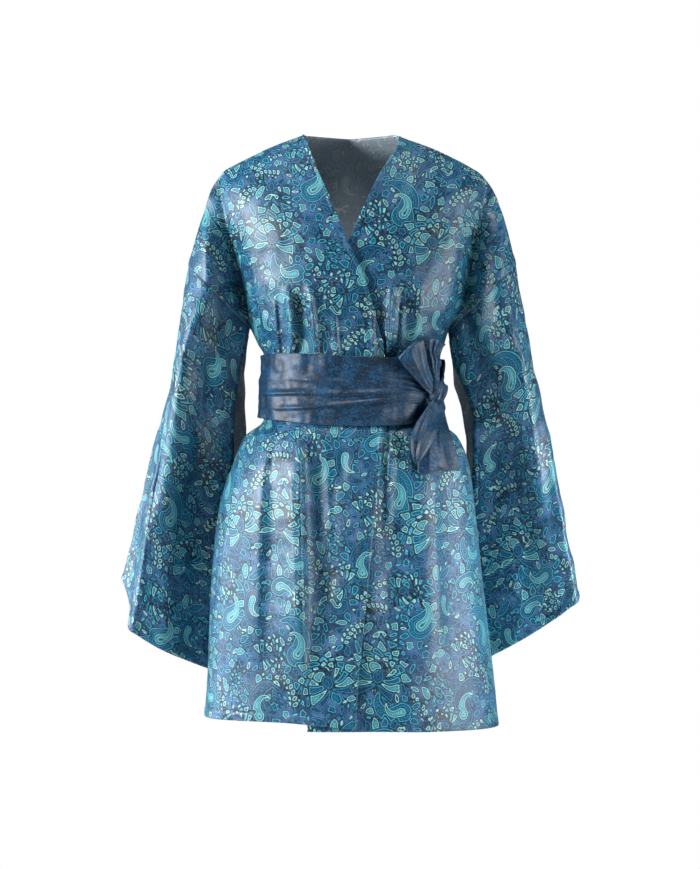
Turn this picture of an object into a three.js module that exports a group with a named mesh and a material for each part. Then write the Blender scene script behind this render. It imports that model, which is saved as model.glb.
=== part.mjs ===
// A short kimono with a wide tied sash, in the hollow form it keeps while it is worn.
// Millimetres, +Z up. X runs to the wearer's left, the fronts face -Y, and the origin lies
// between the two neck points, where the wearer's shoulders carry the garment.
// Every piece is one cloth wall: a grid of points for its outer face, thickened inwards. The
// bow's upward loop and end are thickened outwards, away from the cloth behind them.
import * as THREE from 'three';

// ---------------------------------------------------------------- driving sizes
const CLOTH = 1.4; // wall of the patterned satin
const SASH_CLOTH = 1.6; // wall of the sash, which is folded cloth
const SEAM_GAP = 0.3; // between pieces that are sewn together
const LAP = 2.6; // each front moves this far out or in where one lies on the other
const LAP_FROM = 95; // the fronts part from the body's form at this distance from the centre
const LAP_RAMP = 45;
const LEAST_DEPTH = 3; // no panel comes nearer than this to the side plane between its seams
const BODY_ROUND = 2.3; // exponent of the trunk's section, a little squarer than an ellipse
const BLEND = 4; // how sharply trunk and arm meet in the fold between them
const FRONT_SHOULDER = 140; // height over which the front rounds down from the shoulder line
const BACK_SHOULDER = 110;
const NECK_HALF = 70.5; // from the centre to each neck point
const NECK_TOP = 6; // height of the neck points
const NECK_BACK = 8; // height of the back neckline at its centre
const ARM_DEPTH = 50; // front to middle of the upper arm
const SASH_OUT = 7; // sash face in front of the cloth it binds
const SASH_OUT_SIDE = 5;

// ---------------------------------------------------------------- tables
// Half widths and depths of the trunk and skirt at each height.
const TRUNK = table(['z', 'right', 'left', 'front', 'back'], [
  [10, 262, 258, 95, 88],
  [-61, 250, 245, 97, 94],
  [-123, 212, 206, 104, 100],
  [-172, 186, 191, 110, 100],
  [-223, 170, 181, 112, 95],
  [-260, 157, 166, 108, 91],
  [-283, 151.5, 149, 103, 88],
  [-309, 139, 139.5, 97, 85],
  [-326, 130, 134, 94, 83],
  [-370, 127, 131, 91, 80],
  [-421, 131, 133, 93, 82],
  [-447, 160, 160, 104, 93],
  [-489, 177.6, 177, 112, 103],
  [-555, 198, 186, 118, 108],
  [-688, 211, 199.5, 124, 112],
  [-822, 216, 216, 129, 115],
  [-890, 221, 222, 131, 117],
]);

// The upper arm inside the panels: from the fold beside the trunk out to the outer line.
const ARM = table(['z', 'rightIn', 'rightOut', 'leftIn', 'leftOut'], [
  [10, 110, 186, 110, 190],
  [-49, 125, 188, 125, 191],
  [-80, 140, 208.5, 138, 213],
  [-123, 150, 225, 148, 231],
  [-172, 154, 239, 158, 243],
  [-223, 152, 250.5, 157, 254],
  [-260, 149, 257, 150, 260],
  [-292, 149, 260, 144, 266],
]);

// The shoulder line, from the neck point outwards.
const SHOULDER = table(['x', 'right', 'left'], [
  [0, 37, 36],
  [70.5, 6, 4],
  [118, -12, -12.5],
  [157, -31.5, -30.5],
  [188, -46, -48],
  [260, -80, -84],
]);

// Fronts: each row runs from the neckline or front edge out to the shoulder, the sleeve seam
// (rows 6 to 9) or the side seam. `lift` raises the middle of a row.
const FRONT_RIGHT = table(['row', 'inX', 'inZ', 'outX', 'outZ', 'lift'], [
  [0, -70.5, 6, -186, -45, 3],
  [1, -66, -8, -199, -62, 3],
  [2, -61.5, -21, -208.5, -79.5, 2],
  [3, -46.5, -61.5, -216, -102, 1],
  [4, -31.5, -96, -228, -133.5, 0],
  [5, -19.5, -126, -237, -165, 0],
  [6, -6, -159, -243.8, -190.5, 0],
  [7, 7.5, -187, -213, -221.5, 0],
  [8, 18, -210, -182.3, -252.5, 0],
  [9, 27.8, -244, -151.5, -283.5, 0],
  [10, 40.5, -290, -139, -309, 0],
  [11, 48.5, -324, -130, -326, 0],
  [12, 49, -370, -127, -370, 0],
  [13, 49.4, -421, -131, -421, 0],
  [14, 45, -458, -160, -447, 0],
  [15, 42.5, -492, -177.6, -489, 0],
  [16, 34, -560, -198, -555, 0],
  [17, 25, -658, -208.5, -658, 0],
  [18, 10.5, -800, -215, -800, 2],
  [19, 7, -868, -219.5, -863.5, 6],
]);
const FRONT_LEFT = table(['row', 'inX', 'inZ', 'outX', 'outZ', 'lift'], [
  [0, 72, 4, 188, -48, 3],
  [1, 68, -18, 203, -64, 3],
  [2, 56, -38, 213, -80, 2],
  [3, 37.5, -70, 224, -104, 1],
  [4, 22.5, -102, 233, -134, 0],
  [5, 10.5, -130, 241, -165, 0],
  [6, -2, -158, 247.5, -190, 0],
  [7, -16, -187, 213.5, -223.2, 0],
  [8, -27, -212, 179.5, -256.4, 0],
  [9, -38, -245, 145.5, -289.5, 0],
  [10, -46, -290, 139.5, -309, 0],
  [11, -52, -326, 134, -326, 0],
  [12, -54, -370, 131, -370, 0],
  [13, -55, -421, 133, -421, 0],
  [14, -56, -458, 160, -447, 0],
  [15, -57, -492, 177, -489, 0],
  [16, -59, -560, 186, -555, 0],
  [17, -61, -658, 197, -658, 0],
  [18, -62.5, -800, 213.5, -800, 0],
  [19, -63, -872, 220.5, -877, 2],
]);
// Height of each row of the back at its centre.
const BACK_CENTRE = table(['row', 'z'], [
  [0, 8], [1, -14], [2, -38], [3, -70], [4, -104], [5, -136], [6, -170], [7, -205],
  [8, -238], [9, -272], [10, -302], [11, -326], [12, -370], [13, -421], [14, -449],
  [15, -489], [16, -555], [17, -658], [18, -800], [19, -868],
]);
const SEAM_TOP_ROW = 6;
const UNDERARM_ROW = 9;
// How finely each stretch of rows is cut.
const ROW_STEPS = table(['from', 'to', 'count'], [
  [0, 6, 8],
  [6, 9, 5],
  [9, 13, 6],
  [13, 19, 8],
]);

// Folds of the fronts and back: a soft ridge (or a trough, where `high` is negative) from one
// point to another, `wide` to each side. They fade at both ends.
const FRONT_FOLDS = table(['x0', 'z0', 'x1', 'z1', 'wide', 'high'], [
  [-91, -228, -80, -322, 9, 5],
  [-76, -222, -68, -322, 8, -4],
  [-60, -226, -45, -322, 8, 3.5],
  [57, -226, 52, -322, 9, 4.5],
  [78, -222, 74, -322, 9, -4],
  [104, -205, 96, -322, 9, 3.5],
  [-180, -70, -152, -262, 12, -5],
  [186, -70, 160, -262, 12, -6],
  [-82, -438, -68, -760, 22, 6],
  [-52, -438, -40, -720, 22, -4],
  [-140, -445, -150, -800, 26, 5],
  [96, -445, 118, -820, 26, 5],
  [58, -445, 66, -780, 24, -4],
]);
const BACK_FOLDS = table(['x0', 'z0', 'x1', 'z1', 'wide', 'high'], [
  [-92, -236, -78, -322, 10, 4.5],
  [-48, -240, -42, -322, 9, 3.5],
  [12, -244, 8, -322, 9, -3],
  [60, -236, 50, -322, 10, 4.5],
  [100, -230, 88, -322, 10, -3.5],
  [-176, -80, -152, -262, 13, -5],
  [178, -80, 152, -262, 13, -5],
  [-118, -440, -140, -800, 26, 6],
  [-52, -438, -62, -780, 24, -5],
  [6, -440, 4, -820, 28, 5],
  [64, -438, 76, -780, 24, -5],
  [122, -440, 144, -800, 26, 6],
]);

// Sleeves: four lines from the seam (t 0) to the cuff (t 1): the front's free inner edge (fi),
// the front ridge (fr) and back ridge (br) of the outer side, and the back's inner edge (bi).
// x is the distance out from the centre; front and back are how far each face bellies out.
const SLEEVE_COLUMNS = ['t', 'fiX', 'fiY', 'fiZ', 'frX', 'frY', 'frZ',
  'brX', 'brY', 'brZ', 'biX', 'biY', 'biZ', 'front', 'back'];
const SLEEVE_RIGHT = table(SLEEVE_COLUMNS, [
  [0, 151.5, 0, -283.5, 243.8, 0, -190.5, 243.8, 0, -190.5, 151.5, 0, -283.5, 48, 46],
  [0.1, 157, -9, -316, 251, -9, -240, 252, 8, -238, 156, 12, -316, 44, 44],
  [0.2, 164, -13, -352, 257, -14, -290, 260, 15, -286, 161, 28, -352, 39, 40],
  [0.35, 174, -8, -414, 271, -15, -378, 275, 26, -372, 161, 56, -414, 32, 36],
  [0.5, 177, 25, -485, 286, -12, -460, 297, 38, -452, 163, 80, -482, 22, 30],
  [0.7, 190, 49, -600, 305, -5, -556, 320, 54, -540, 180, 94, -590, 20, 26],
  [0.85, 197, 55, -700, 318, 4, -640, 337, 66, -606, 188, 100, -680, 19, 23],
  [1, 203, 60, -806, 334.5, 14, -730.5, 353, 76, -664.5, 196, 104, -776, 18, 22],
]);
const SLEEVE_LEFT = table(SLEEVE_COLUMNS, [
  [0, 145.5, 0, -289.5, 247.5, 0, -190, 247.5, 0, -190, 145.5, 0, -289.5, 48, 46],
  [0.1, 151, -10, -332, 255, -9, -238, 256, 8, -236, 150, 12, -332, 45, 44],
  [0.2, 166, -16, -364, 264, -14, -296, 266, 15, -292, 157, 30, -366, 39, 40],
  [0.35, 181, -9, -424, 280, -15, -376, 282, 26, -370, 174, 58, -424, 30, 36],
  [0.5, 183, 22, -496, 298, -11, -452, 300, 38, -444, 178, 82, -492, 22, 30],
  [0.7, 176, 50, -600, 319, -2, -566, 321, 54, -556, 170, 96, -596, 20, 26],
  [0.85, 187, 57, -690, 333, 6, -632, 334, 62, -620, 181, 101, -680, 19, 23],
  [1, 199, 62, -790, 344, 14, -686, 343, 66, -676, 192, 105, -772, 18, 22],
]);
const SIDE_FROM = 0.4; // the outer side lies between these shares of a sleeve's section
const SIDE_TO = 0.6;
const SIDE_DENT = 7; // valley between the two outer ridges at the cuff
const CUFF_SAG = 9; // the hem hangs this much lower between its corners
const SEAM_BLEND = 0.28; // share of the sleeve that carries on the armhole's own form
const SLEEVE_ROWS = 11;
const SLEEVE_COLS = 24;

// Sash: turn is the angle round the waist, 0 at the centre front and 90 at the wearer's left.
const SASH = table(['turn', 'top', 'bottom'], [
  [52, -360, -408],
  [46, -346, -421],
  [33, -332, -429],
  [0, -329, -431],
  [-50, -324, -423],
  [-90, -325.5, -418],
  [-180, -326, -418],
  [-262, -330, -417],
  [-278, -348, -408],
  [-289, -368, -397],
]);
const SASH_COLS = 44;
const SASH_ROWS = 5;
const SASH_CREASE = 3; // height of its lengthwise creases
const SASH_BELLY = 2;
const SASH_HUG = 9; // the bow keeps clear of whatever lies within this reach

// Bow: each piece runs from the knot (v 0) to its tip, between two edges, standing `off` the
// cloth behind it and cupped by `cup` across its middle.
const BOW_COLUMNS = ['v', 'aX', 'aZ', 'bX', 'bZ', 'off', 'cup'];
const BOW_LOBE = table(BOW_COLUMNS, [
  [0, 107, -386, 108, -374, 5, 1],
  [0.3, 98, -366, 110, -354, 8, 4],
  [0.65, 82, -346, 106, -328, 12, 7],
  [1, 70, -333, 103, -304, 12, 8],
]);
const LOBE_INSET = 9; // the lobe's back layer lies this much nearer the sash
const TAIL_UPPER = table(BOW_COLUMNS, [
  [0, 118, -355, 127, -353, 3, 1],
  [0.35, 114, -340, 130, -338, 3, 4],
  [0.7, 111, -325, 128, -323, 3, 4],
  [1, 110, -308, 138, -310, 3, 4],
]);
const TAIL_LOWER_LEFT = table(BOW_COLUMNS, [
  [0, 114, -407, 125, -406, 10, 1],
  [0.3, 100, -424, 128, -418, 11, 4],
  [0.65, 87, -452, 120, -444, 11, 6],
  [0.9, 85, -474, 104, -473, 10, 4],
  [1, 88, -487, 94, -486, 10, 1],
]);
const TAIL_LOWER_RIGHT = table(BOW_COLUMNS, [
  [0, 124, -408, 137, -406, 3, 1],
  [0.25, 112, -428, 141, -421, 3, 2],
  [0.55, 98, -458, 150, -446, 3, 2],
  [0.85, 94, -490, 159, -480, 3, 2],
  [1, 104, -503, 160, -497, 3, 2],
]);
const BOW_ROWS = 8;
const BOW_COLS = 6;

// Knot: a band wound round the roots of the bow, open at its two ends.
const KNOT = { x: 127, z: -380, off: 9, halfTall: 17, halfDeep: 10, halfWide: 10, wall: 2.5 };
const KNOT_SIDES = 14;
const KNOT_ROWS = 4;
const KNOT_TURN = 0.6; // radians: the knot faces round with the sash
const KNOT_LEAN = 0.35;
const KNOT_BULGE = 0.18;

// ---------------------------------------------------------------- numbers
function table(columns, rows) {
  return rows.map((row) => Object.fromEntries(columns.map((name, i) => [name, row[i]])));
}
const clamp = (x, low, high) => Math.min(high, Math.max(low, x));
const mix = (a, b, t) => a + (b - a) * t;
const smooth = (t) => {
  const s = clamp(t, 0, 1);
  return s * s * (3 - 2 * s);
};

// One column of a table as a smooth curve over its first column, with no overshoot.
function curve(rows, name) {
  const key = Object.keys(rows[0])[0];
  const up = rows[0][key] < rows[rows.length - 1][key];
  const knots = up ? rows : [...rows].reverse();
  const x = knots.map((row) => row[key]);
  const y = knots.map((row) => row[name]);
  const last = x.length - 1;
  const slopes = x.slice(1).map((value, i) => (y[i + 1] - y[i]) / (value - x[i]));
  const tangents = x.map((_, i) => {
    if (i === 0) return slopes[0];
    if (i === last) return slopes[last - 1];
    const before = slopes[i - 1];
    const after = slopes[i];
    return before * after <= 0 ? 0 : (2 * before * after) / (before + after);
  });
  return (at) => {
    const q = clamp(at, x[0], x[last]);
    let i = 0;
    while (i < last - 1 && q > x[i + 1]) i += 1;
    const h = x[i + 1] - x[i];
    const t = (q - x[i]) / h;
    const a = (1 + 2 * t) * (1 - t) * (1 - t) * y[i] + t * t * (3 - 2 * t) * y[i + 1];
    return a + h * (t * (1 - t) * (1 - t) * tangents[i] - t * t * (1 - t) * tangents[i + 1]);
  };
}
const curves = (rows) => Object.fromEntries(
  Object.keys(rows[0]).slice(1).map((name) => [name, curve(rows, name)]),
);
const trunk = curves(TRUNK);
const arm = curves(ARM);
const shoulder = curves(SHOULDER);

// ---------------------------------------------------------------- the worn form
const halfOval = (share, power) => Math.sqrt(Math.max(0, 1 - Math.abs(share) ** power));

// A soft ridge or trough along one straight fold.
function foldRelief(folds, x, z) {
  let sum = 0;
  for (const f of folds) {
    const dx = f.x1 - f.x0;
    const dz = f.z1 - f.z0;
    const length = Math.hypot(dx, dz);
    const along = ((x - f.x0) * dx + (z - f.z0) * dz) / (length * length);
    const across = ((x - f.x0) * dz - (z - f.z0) * dx) / length;
    const fade = smooth(along / 0.25) * smooth((1 - along) / 0.25);
    sum += f.high * fade * Math.exp(-((across / f.wide) ** 2));
  }
  return sum;
}

// How far the cloth stands from the side plane (y 0), in front or behind.
function depth(x, z, face) {
  const side = x < 0 ? 'right' : 'left';
  const far = Math.abs(x);
  const round = face === 'front' ? FRONT_SHOULDER : BACK_SHOULDER;
  const below = clamp((shoulder[side](far) - z) / round, 0, 1);
  const fromTop = Math.sqrt(1 - (1 - below) ** 2);
  const body = trunk[face](z) * halfOval(far / trunk[side](z), BODY_ROUND);
  let limb = 0;
  if (z > ARM[ARM.length - 1].z) {
    const inner = arm[`${side}In`](z);
    const outer = arm[`${side}Out`](z);
    const share = (far - (inner + outer) / 2) / ((outer - inner) / 2);
    limb = ARM_DEPTH * halfOval(clamp(share, -1, 1), 2);
  }
  const both = (body ** BLEND + limb ** BLEND) ** (1 / BLEND);
  const folds = foldRelief(face === 'front' ? FRONT_FOLDS : BACK_FOLDS, x, z);
  return fromTop * both + folds * smooth(both / 40);
}

const rowsOf = () => {
  const list = [0];
  for (const { from, to, count } of ROW_STEPS) {
    for (let i = 1; i <= count; i += 1) list.push(mix(from, to, i / count));
  }
  return list;
};

// ---------------------------------------------------------------- walls
const Y_AXIS = new THREE.Vector3(0, 1, 0);

// A closed wall: `grid` holds the outer face's points row by row, each {p, planes, out}.
// planes are unit normals that the wall's edge stays square to; out fixes its direction.
function wall(name, grid, thick, material, ringed = false) {
  const rows = grid.length;
  const cols = grid[0].length;
  const at = (i, j) => grid[i][ringed ? (j + cols) % cols : clamp(j, 0, cols - 1)].p;
  const points = [];
  const inner = [];
  for (let i = 0; i < rows; i += 1) {
    for (let j = 0; j < cols; j += 1) {
      const across = at(i, j + 1).clone().sub(at(i, j - 1));
      const down = at(Math.min(i + 1, rows - 1), j).clone().sub(at(Math.max(i - 1, 0), j));
      const node = grid[i][j];
      const normal = down.cross(across).normalize();
      if (node.out) normal.copy(node.out);
      for (const plane of node.planes ?? []) {
        normal.addScaledVector(plane, -normal.dot(plane)).normalize();
      }
      points.push(node.p.clone());
      inner.push(node.p.clone().addScaledVector(normal, -thick));
    }
  }
  const count = points.length;
  const position = new Float32Array([...points, ...inner].flatMap((p) => [p.x, p.y, p.z]));
  const index = [];
  const id = (i, j, layer) => layer * count + i * cols + (j % cols);
  const quad = (a, b, c, d) => index.push(a, b, c, a, c, d);
  const spans = ringed ? cols : cols - 1;
  for (let i = 0; i < rows - 1; i += 1) {
    for (let j = 0; j < spans; j += 1) {
      quad(id(i, j, 0), id(i + 1, j, 0), id(i + 1, j + 1, 0), id(i, j + 1, 0));
      quad(id(i, j, 1), id(i, j + 1, 1), id(i + 1, j + 1, 1), id(i + 1, j, 1));
    }
  }
  for (let j = 0; j < spans; j += 1) {
    quad(id(0, j, 0), id(0, j + 1, 0), id(0, j + 1, 1), id(0, j, 1));
    const end = rows - 1;
    quad(id(end, j + 1, 0), id(end, j, 0), id(end, j, 1), id(end, j + 1, 1));
  }
  for (let i = 0; i < rows - 1 && !ringed; i += 1) {
    quad(id(i + 1, 0, 0), id(i, 0, 0), id(i, 0, 1), id(i + 1, 0, 1));
    const end = cols - 1;
    quad(id(i, end, 0), id(i + 1, end, 0), id(i + 1, end, 1), id(i, end, 1));
  }
  const geometry = new THREE.BufferGeometry();
  geometry.setAttribute('position', new THREE.BufferAttribute(position, 3));
  geometry.setIndex(index);
  const mesh = new THREE.Mesh(geometry, material);
  mesh.name = name;
  return mesh;
}

// ---------------------------------------------------------------- armholes and panels
// The straight sleeve seam of one side, seen from the front, with its cutting plane.
function armhole(rows) {
  const top = rows[SEAM_TOP_ROW];
  const under = rows[UNDERARM_ROW];
  const a = new THREE.Vector3(top.outX, 0, top.outZ);
  const b = new THREE.Vector3(under.outX, 0, under.outZ);
  const upward = a.clone().sub(b).normalize();
  const plane = upward.clone().cross(Y_AXIS).normalize();
  if (plane.z > 0) plane.negate(); // it faces down, towards the sleeve
  return { a, b, upward, plane };
}
const HOLES = { right: armhole(FRONT_RIGHT), left: armhole(FRONT_LEFT) };

// The outer end of a row, which runs dead straight along the sleeve seam.
function outerEdge(rows, hole) {
  const edge = curves(rows);
  return (row) => {
    if (row < SEAM_TOP_ROW || row > UNDERARM_ROW) return { x: edge.outX(row), z: edge.outZ(row) };
    const p = hole.a.clone().lerp(hole.b, (row - SEAM_TOP_ROW) / (UNDERARM_ROW - SEAM_TOP_ROW));
    return { x: p.x, z: p.z };
  };
}
const OUTER = {
  right: outerEdge(FRONT_RIGHT, HOLES.right),
  left: outerEdge(FRONT_LEFT, HOLES.left),
};

const besideSeam = (row) => row >= SEAM_TOP_ROW && row <= UNDERARM_ROW;

// Marks a panel's outer end: on the side plane, on the sleeve seam, or on both at a corner.
function outerEnd(node, row, hole) {
  if (besideSeam(row)) {
    node.planes.push(hole.plane);
    node.p.addScaledVector(hole.plane, -SEAM_GAP / 2);
  }
  if (row <= SEAM_TOP_ROW || row >= UNDERARM_ROW) node.planes.push(Y_AXIS);
  if (row === UNDERARM_ROW) node.out = hole.upward.clone();
}

const FRONT_COLS = 18;
function frontPanel(name, rows, side, material) {
  const edge = curves(rows);
  const sign = side === 'right' ? -1 : 1;
  const lapSign = side === 'right' ? 1 : -1;
  const grid = rowsOf().map((row) => {
    const inX = edge.inX(row);
    const { x: outX, z: outZ } = OUTER[side](row);
    const start = Math.asin(inX / outX);
    return Array.from({ length: FRONT_COLS + 1 }, (_, j) => {
      const u = j / FRONT_COLS;
      const x = j === FRONT_COLS ? outX : outX * Math.sin(mix(start, Math.PI / 2, u));
      const share = (x - inX) / (outX - inX);
      const z = mix(edge.inZ(row), outZ, share)
        + edge.lift(row) * Math.sin(Math.PI * share);
      const atEnd = j === FRONT_COLS;
      const onPlane = row === 0 || (atEnd && (row <= SEAM_TOP_ROW || row >= UNDERARM_ROW));
      const lap = lapSign * LAP * smooth((LAP_FROM - x * sign) / LAP_RAMP) * smooth(row / 3);
      const y = onPlane ? 0 : Math.max(depth(x, z, 'front') + lap, atEnd ? 0 : LEAST_DEPTH);
      const node = { p: new THREE.Vector3(x, -y - SEAM_GAP / 2, z), planes: [] };
      if (row === 0) node.planes.push(Y_AXIS);
      if (atEnd) outerEnd(node, row, HOLES[side]);
      else if (j === FRONT_COLS - 1 && besideSeam(row)) node.planes.push(HOLES[side].plane);
      return node;
    });
  });
  if (side === 'right') grid.forEach((line) => line.reverse());
  return wall(name, grid, CLOTH, material);
}

const BACK_COLS = 30;
function backPanel(name, material) {
  const centre = curve(BACK_CENTRE, 'z');
  const topLine = (x) => {
    const far = Math.abs(x);
    if (far < NECK_HALF) return mix(NECK_BACK, NECK_TOP, (far / NECK_HALF) ** 4);
    return shoulder[x < 0 ? 'right' : 'left'](far);
  };
  const line = (row, x, end) => mix(centre(row), end.z, x / end.x);
  const grid = rowsOf().map((row) => Array.from({ length: BACK_COLS + 1 }, (_, j) => {
    const s = (2 * j) / BACK_COLS - 1;
    const side = s < 0 ? 'right' : 'left';
    const end = OUTER[side](row);
    const x = end.x * Math.sin((Math.abs(s) * Math.PI) / 2);
    const atEnd = j === 0 || j === BACK_COLS;
    const rise = (topLine(x) - line(0, x, OUTER[side](0))) * (1 - smooth(row / 5));
    const z = line(row, x, end) + (atEnd ? 0 : rise);
    const onPlane = (row === 0 && Math.abs(x) >= NECK_HALF)
      || (atEnd && (row <= SEAM_TOP_ROW || row >= UNDERARM_ROW));
    const y = onPlane ? 0 : Math.max(depth(x, z, 'back'), atEnd ? 0 : LEAST_DEPTH);
    const node = { p: new THREE.Vector3(x, y + SEAM_GAP / 2, z), planes: [] };
    if (row === 0 && onPlane) node.planes.push(Y_AXIS);
    if (atEnd) outerEnd(node, row, HOLES[side]);
    else if ((j === 1 || j === BACK_COLS - 1) && besideSeam(row)) {
      node.planes.push(HOLES[side].plane);
    }
    return node;
  }));
  grid.forEach((row) => row.reverse());
  return wall(name, grid, CLOTH, material);
}

// ---------------------------------------------------------------- sleeves
// A point of the armhole itself: w runs from the underarm over the front, the top and the back.
function seamPoint(hole, w) {
  const nearTop = 0.94;
  const front = w <= 0.5;
  const v = front ? w : 1 - w;
  const s = v < SIDE_FROM
    ? (v / SIDE_FROM) * nearTop
    : mix(nearTop, 1, (v - SIDE_FROM) / (0.5 - SIDE_FROM));
  const p = hole.b.clone().lerp(hole.a, s);
  const ends = s <= 0 || s >= 1;
  const y = ends ? 0 : Math.max(depth(p.x, p.z, front ? 'front' : 'back'), 0.5);
  p.y = (front ? -1 : 1) * (y + SEAM_GAP / 2);
  if (w === 0.5) p.y = 0;
  return p;
}

function sleeve(name, rows, side, material) {
  const at = curves(rows);
  const hole = HOLES[side];
  const sign = side === 'right' ? -1 : 1;
  const corner = (line, t) => new THREE.Vector3(
    sign * at[`${line}X`](t), at[`${line}Y`](t), at[`${line}Z`](t),
  );
  const grid = Array.from({ length: SLEEVE_ROWS + 1 }, (_, i) => {
    const t = i / SLEEVE_ROWS;
    const [fi, fr, br, bi] = ['fi', 'fr', 'br', 'bi'].map((line) => corner(line, t));
    return Array.from({ length: SLEEVE_COLS + 1 }, (__, j) => {
      const w = j / SLEEVE_COLS;
      let p;
      if (w <= SIDE_FROM) {
        const s = w / SIDE_FROM;
        p = fi.clone().lerp(fr, Math.sin((s * Math.PI) / 2));
        p.y -= at.front(t) * Math.sin(Math.PI * s ** 0.8);
        p.z -= CUFF_SAG * t * Math.sin(Math.PI * s);
      } else if (w < SIDE_TO) {
        const s = (w - SIDE_FROM) / (SIDE_TO - SIDE_FROM);
        p = fr.clone().lerp(br, s);
        p.x -= sign * SIDE_DENT * t * Math.sin(Math.PI * s);
      } else {
        const s = (1 - w) / (1 - SIDE_TO);
        p = bi.clone().lerp(br, Math.sin((s * Math.PI) / 2));
        p.y += at.back(t) * Math.sin(Math.PI * s ** 0.8);
        p.z -= CUFF_SAG * t * Math.sin(Math.PI * s);
      }
      const keep = 1 - smooth(t / SEAM_BLEND);
      const shift = corner('fr', t).sub(hole.a).lerp(corner('fi', t).sub(hole.b), 0.5);
      const armPoint = seamPoint(hole, w).add(shift);
      p.lerp(armPoint, keep * 0.999);
      if (i === 0) p = seamPoint(hole, w).addScaledVector(hole.plane, SEAM_GAP / 2);
      const node = { p, planes: i === 0 ? [hole.plane] : [] };
      if (i === 0 && (j === 0 || j === SLEEVE_COLS)) {
        node.p.y = (j === 0 ? -1 : 1) * (SEAM_GAP / 2);
        node.planes.push(Y_AXIS);
        node.out = hole.upward.clone().negate();
      }
      return node;
    });
  });
  if (side === 'right') grid.forEach((row) => row.reverse());
  return wall(name, grid, CLOTH, material);
}

// ---------------------------------------------------------------- sash and bow
// A point of the sash's outer face at a turn round the waist.
function sashPoint(turn, z, out) {
  const angle = THREE.MathUtils.degToRad(turn);
  const s = Math.sin(angle);
  const side = s < 0 ? 'right' : 'left';
  const face = Math.cos(angle) > 0 ? 'front' : 'back';
  const x = s * (trunk[side](z) + SASH_OUT_SIDE + out);
  const y = (trunk[face](z) + SASH_OUT + out) * halfOval(s, BODY_ROUND);
  return new THREE.Vector3(x, face === 'front' ? -y : y, z);
}

function sashWrap(name, material) {
  const { top, bottom } = curves(SASH);
  const first = SASH[0].turn;
  const last = SASH[SASH.length - 1].turn;
  const grid = Array.from({ length: SASH_ROWS + 1 }, (_, i) => (
    Array.from({ length: SASH_COLS + 1 }, (__, j) => {
      const turn = mix(first, last, j / SASH_COLS);
      const share = i / SASH_ROWS;
      const wave = (1 + Math.sin(share * Math.PI * 5)) / 2;
      const crease = SASH_CREASE * wave * smooth((turn + 120) / 90);
      const belly = SASH_BELLY * Math.sin(Math.PI * share);
      const p = sashPoint(turn, mix(top(turn), bottom(turn), share), crease + belly);
      return { p };
    })
  ));
  grid.forEach((row) => row.reverse());
  return wall(name, grid, SASH_CLOTH, material);
}

// How far forward the dressed front stands round a place: the cloth, and the sash over it.
function dressedDepth(x, z) {
  const { front, left } = trunk;
  const near = [];
  for (const down of [-SASH_HUG, 0, SASH_HUG]) {
    const level = z + down;
    const inward = Math.max(0, x - SASH_HUG);
    near.push(depth(inward, level, 'front') + LAP);
    const share = Math.min(1, inward / (left(level) + SASH_OUT_SIDE));
    const sash = (front(level) + SASH_OUT + SASH_CREASE) * halfOval(share, BODY_ROUND);
    if (level < SASH[3].top && level > SASH[3].bottom) near.push(sash + SASH_BELLY);
  }
  return Math.max(...near);
}

function bowPiece(name, rows, material, doubled = false) {
  const at = curves(rows);
  const count = doubled ? 2 * BOW_ROWS : BOW_ROWS;
  const grid = Array.from({ length: count + 1 }, (_, i) => {
    const run = (i / count) * (doubled ? 2 : 1);
    const v = run <= 1 ? run : 2 - run;
    const turned = run <= 1 ? 0 : 1;
    return Array.from({ length: BOW_COLS + 1 }, (__, j) => {
      const u = j / BOW_COLS;
      const x = mix(at.aX(v), at.bX(v), u);
      const z = mix(at.aZ(v), at.bZ(v), u) + (v > 0.8 ? 4 * Math.sin(Math.PI * u) : 0);
      const nearTip = doubled ? LOBE_INSET * smooth((1 - v) / 0.3) * turned : 0;
      const cup = at.cup(v) * Math.sin(Math.PI * u) * (turned ? -0.2 : 1);
      return { p: new THREE.Vector3(x, -dressedDepth(x, z) - at.off(v) - cup + nearTip, z) };
    });
  });
  return wall(name, grid, SASH_CLOTH, material);
}

function knot(name, material) {
  const centre = new THREE.Vector3(KNOT.x, -dressedDepth(KNOT.x, KNOT.z) - KNOT.off, KNOT.z);
  const turn = new THREE.Euler(0, KNOT_LEAN, KNOT_TURN, 'ZYX');
  const grid = Array.from({ length: KNOT_ROWS + 1 }, (_, i) => {
    const share = (2 * i) / KNOT_ROWS - 1;
    const grow = 1 + KNOT_BULGE * (1 - share * share);
    return Array.from({ length: KNOT_SIDES }, (__, j) => {
      const angle = (2 * Math.PI * j) / KNOT_SIDES;
      const p = new THREE.Vector3(
        KNOT.halfWide * share,
        KNOT.halfDeep * grow * Math.cos(angle),
        KNOT.halfTall * grow * Math.sin(angle),
      );
      return { p: p.applyEuler(turn).add(centre) };
    });
  });
  return wall(name, grid, KNOT.wall, material, true);
}

// ---------------------------------------------------------------- the garment
const printCloth = new THREE.MeshStandardMaterial({ color: 0x2f6f8f, roughness: 0.45 });
const sashCloth = new THREE.MeshStandardMaterial({ color: 0x33507c, roughness: 0.6 });
printCloth.metalness = 0;
sashCloth.metalness = 0;

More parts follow.
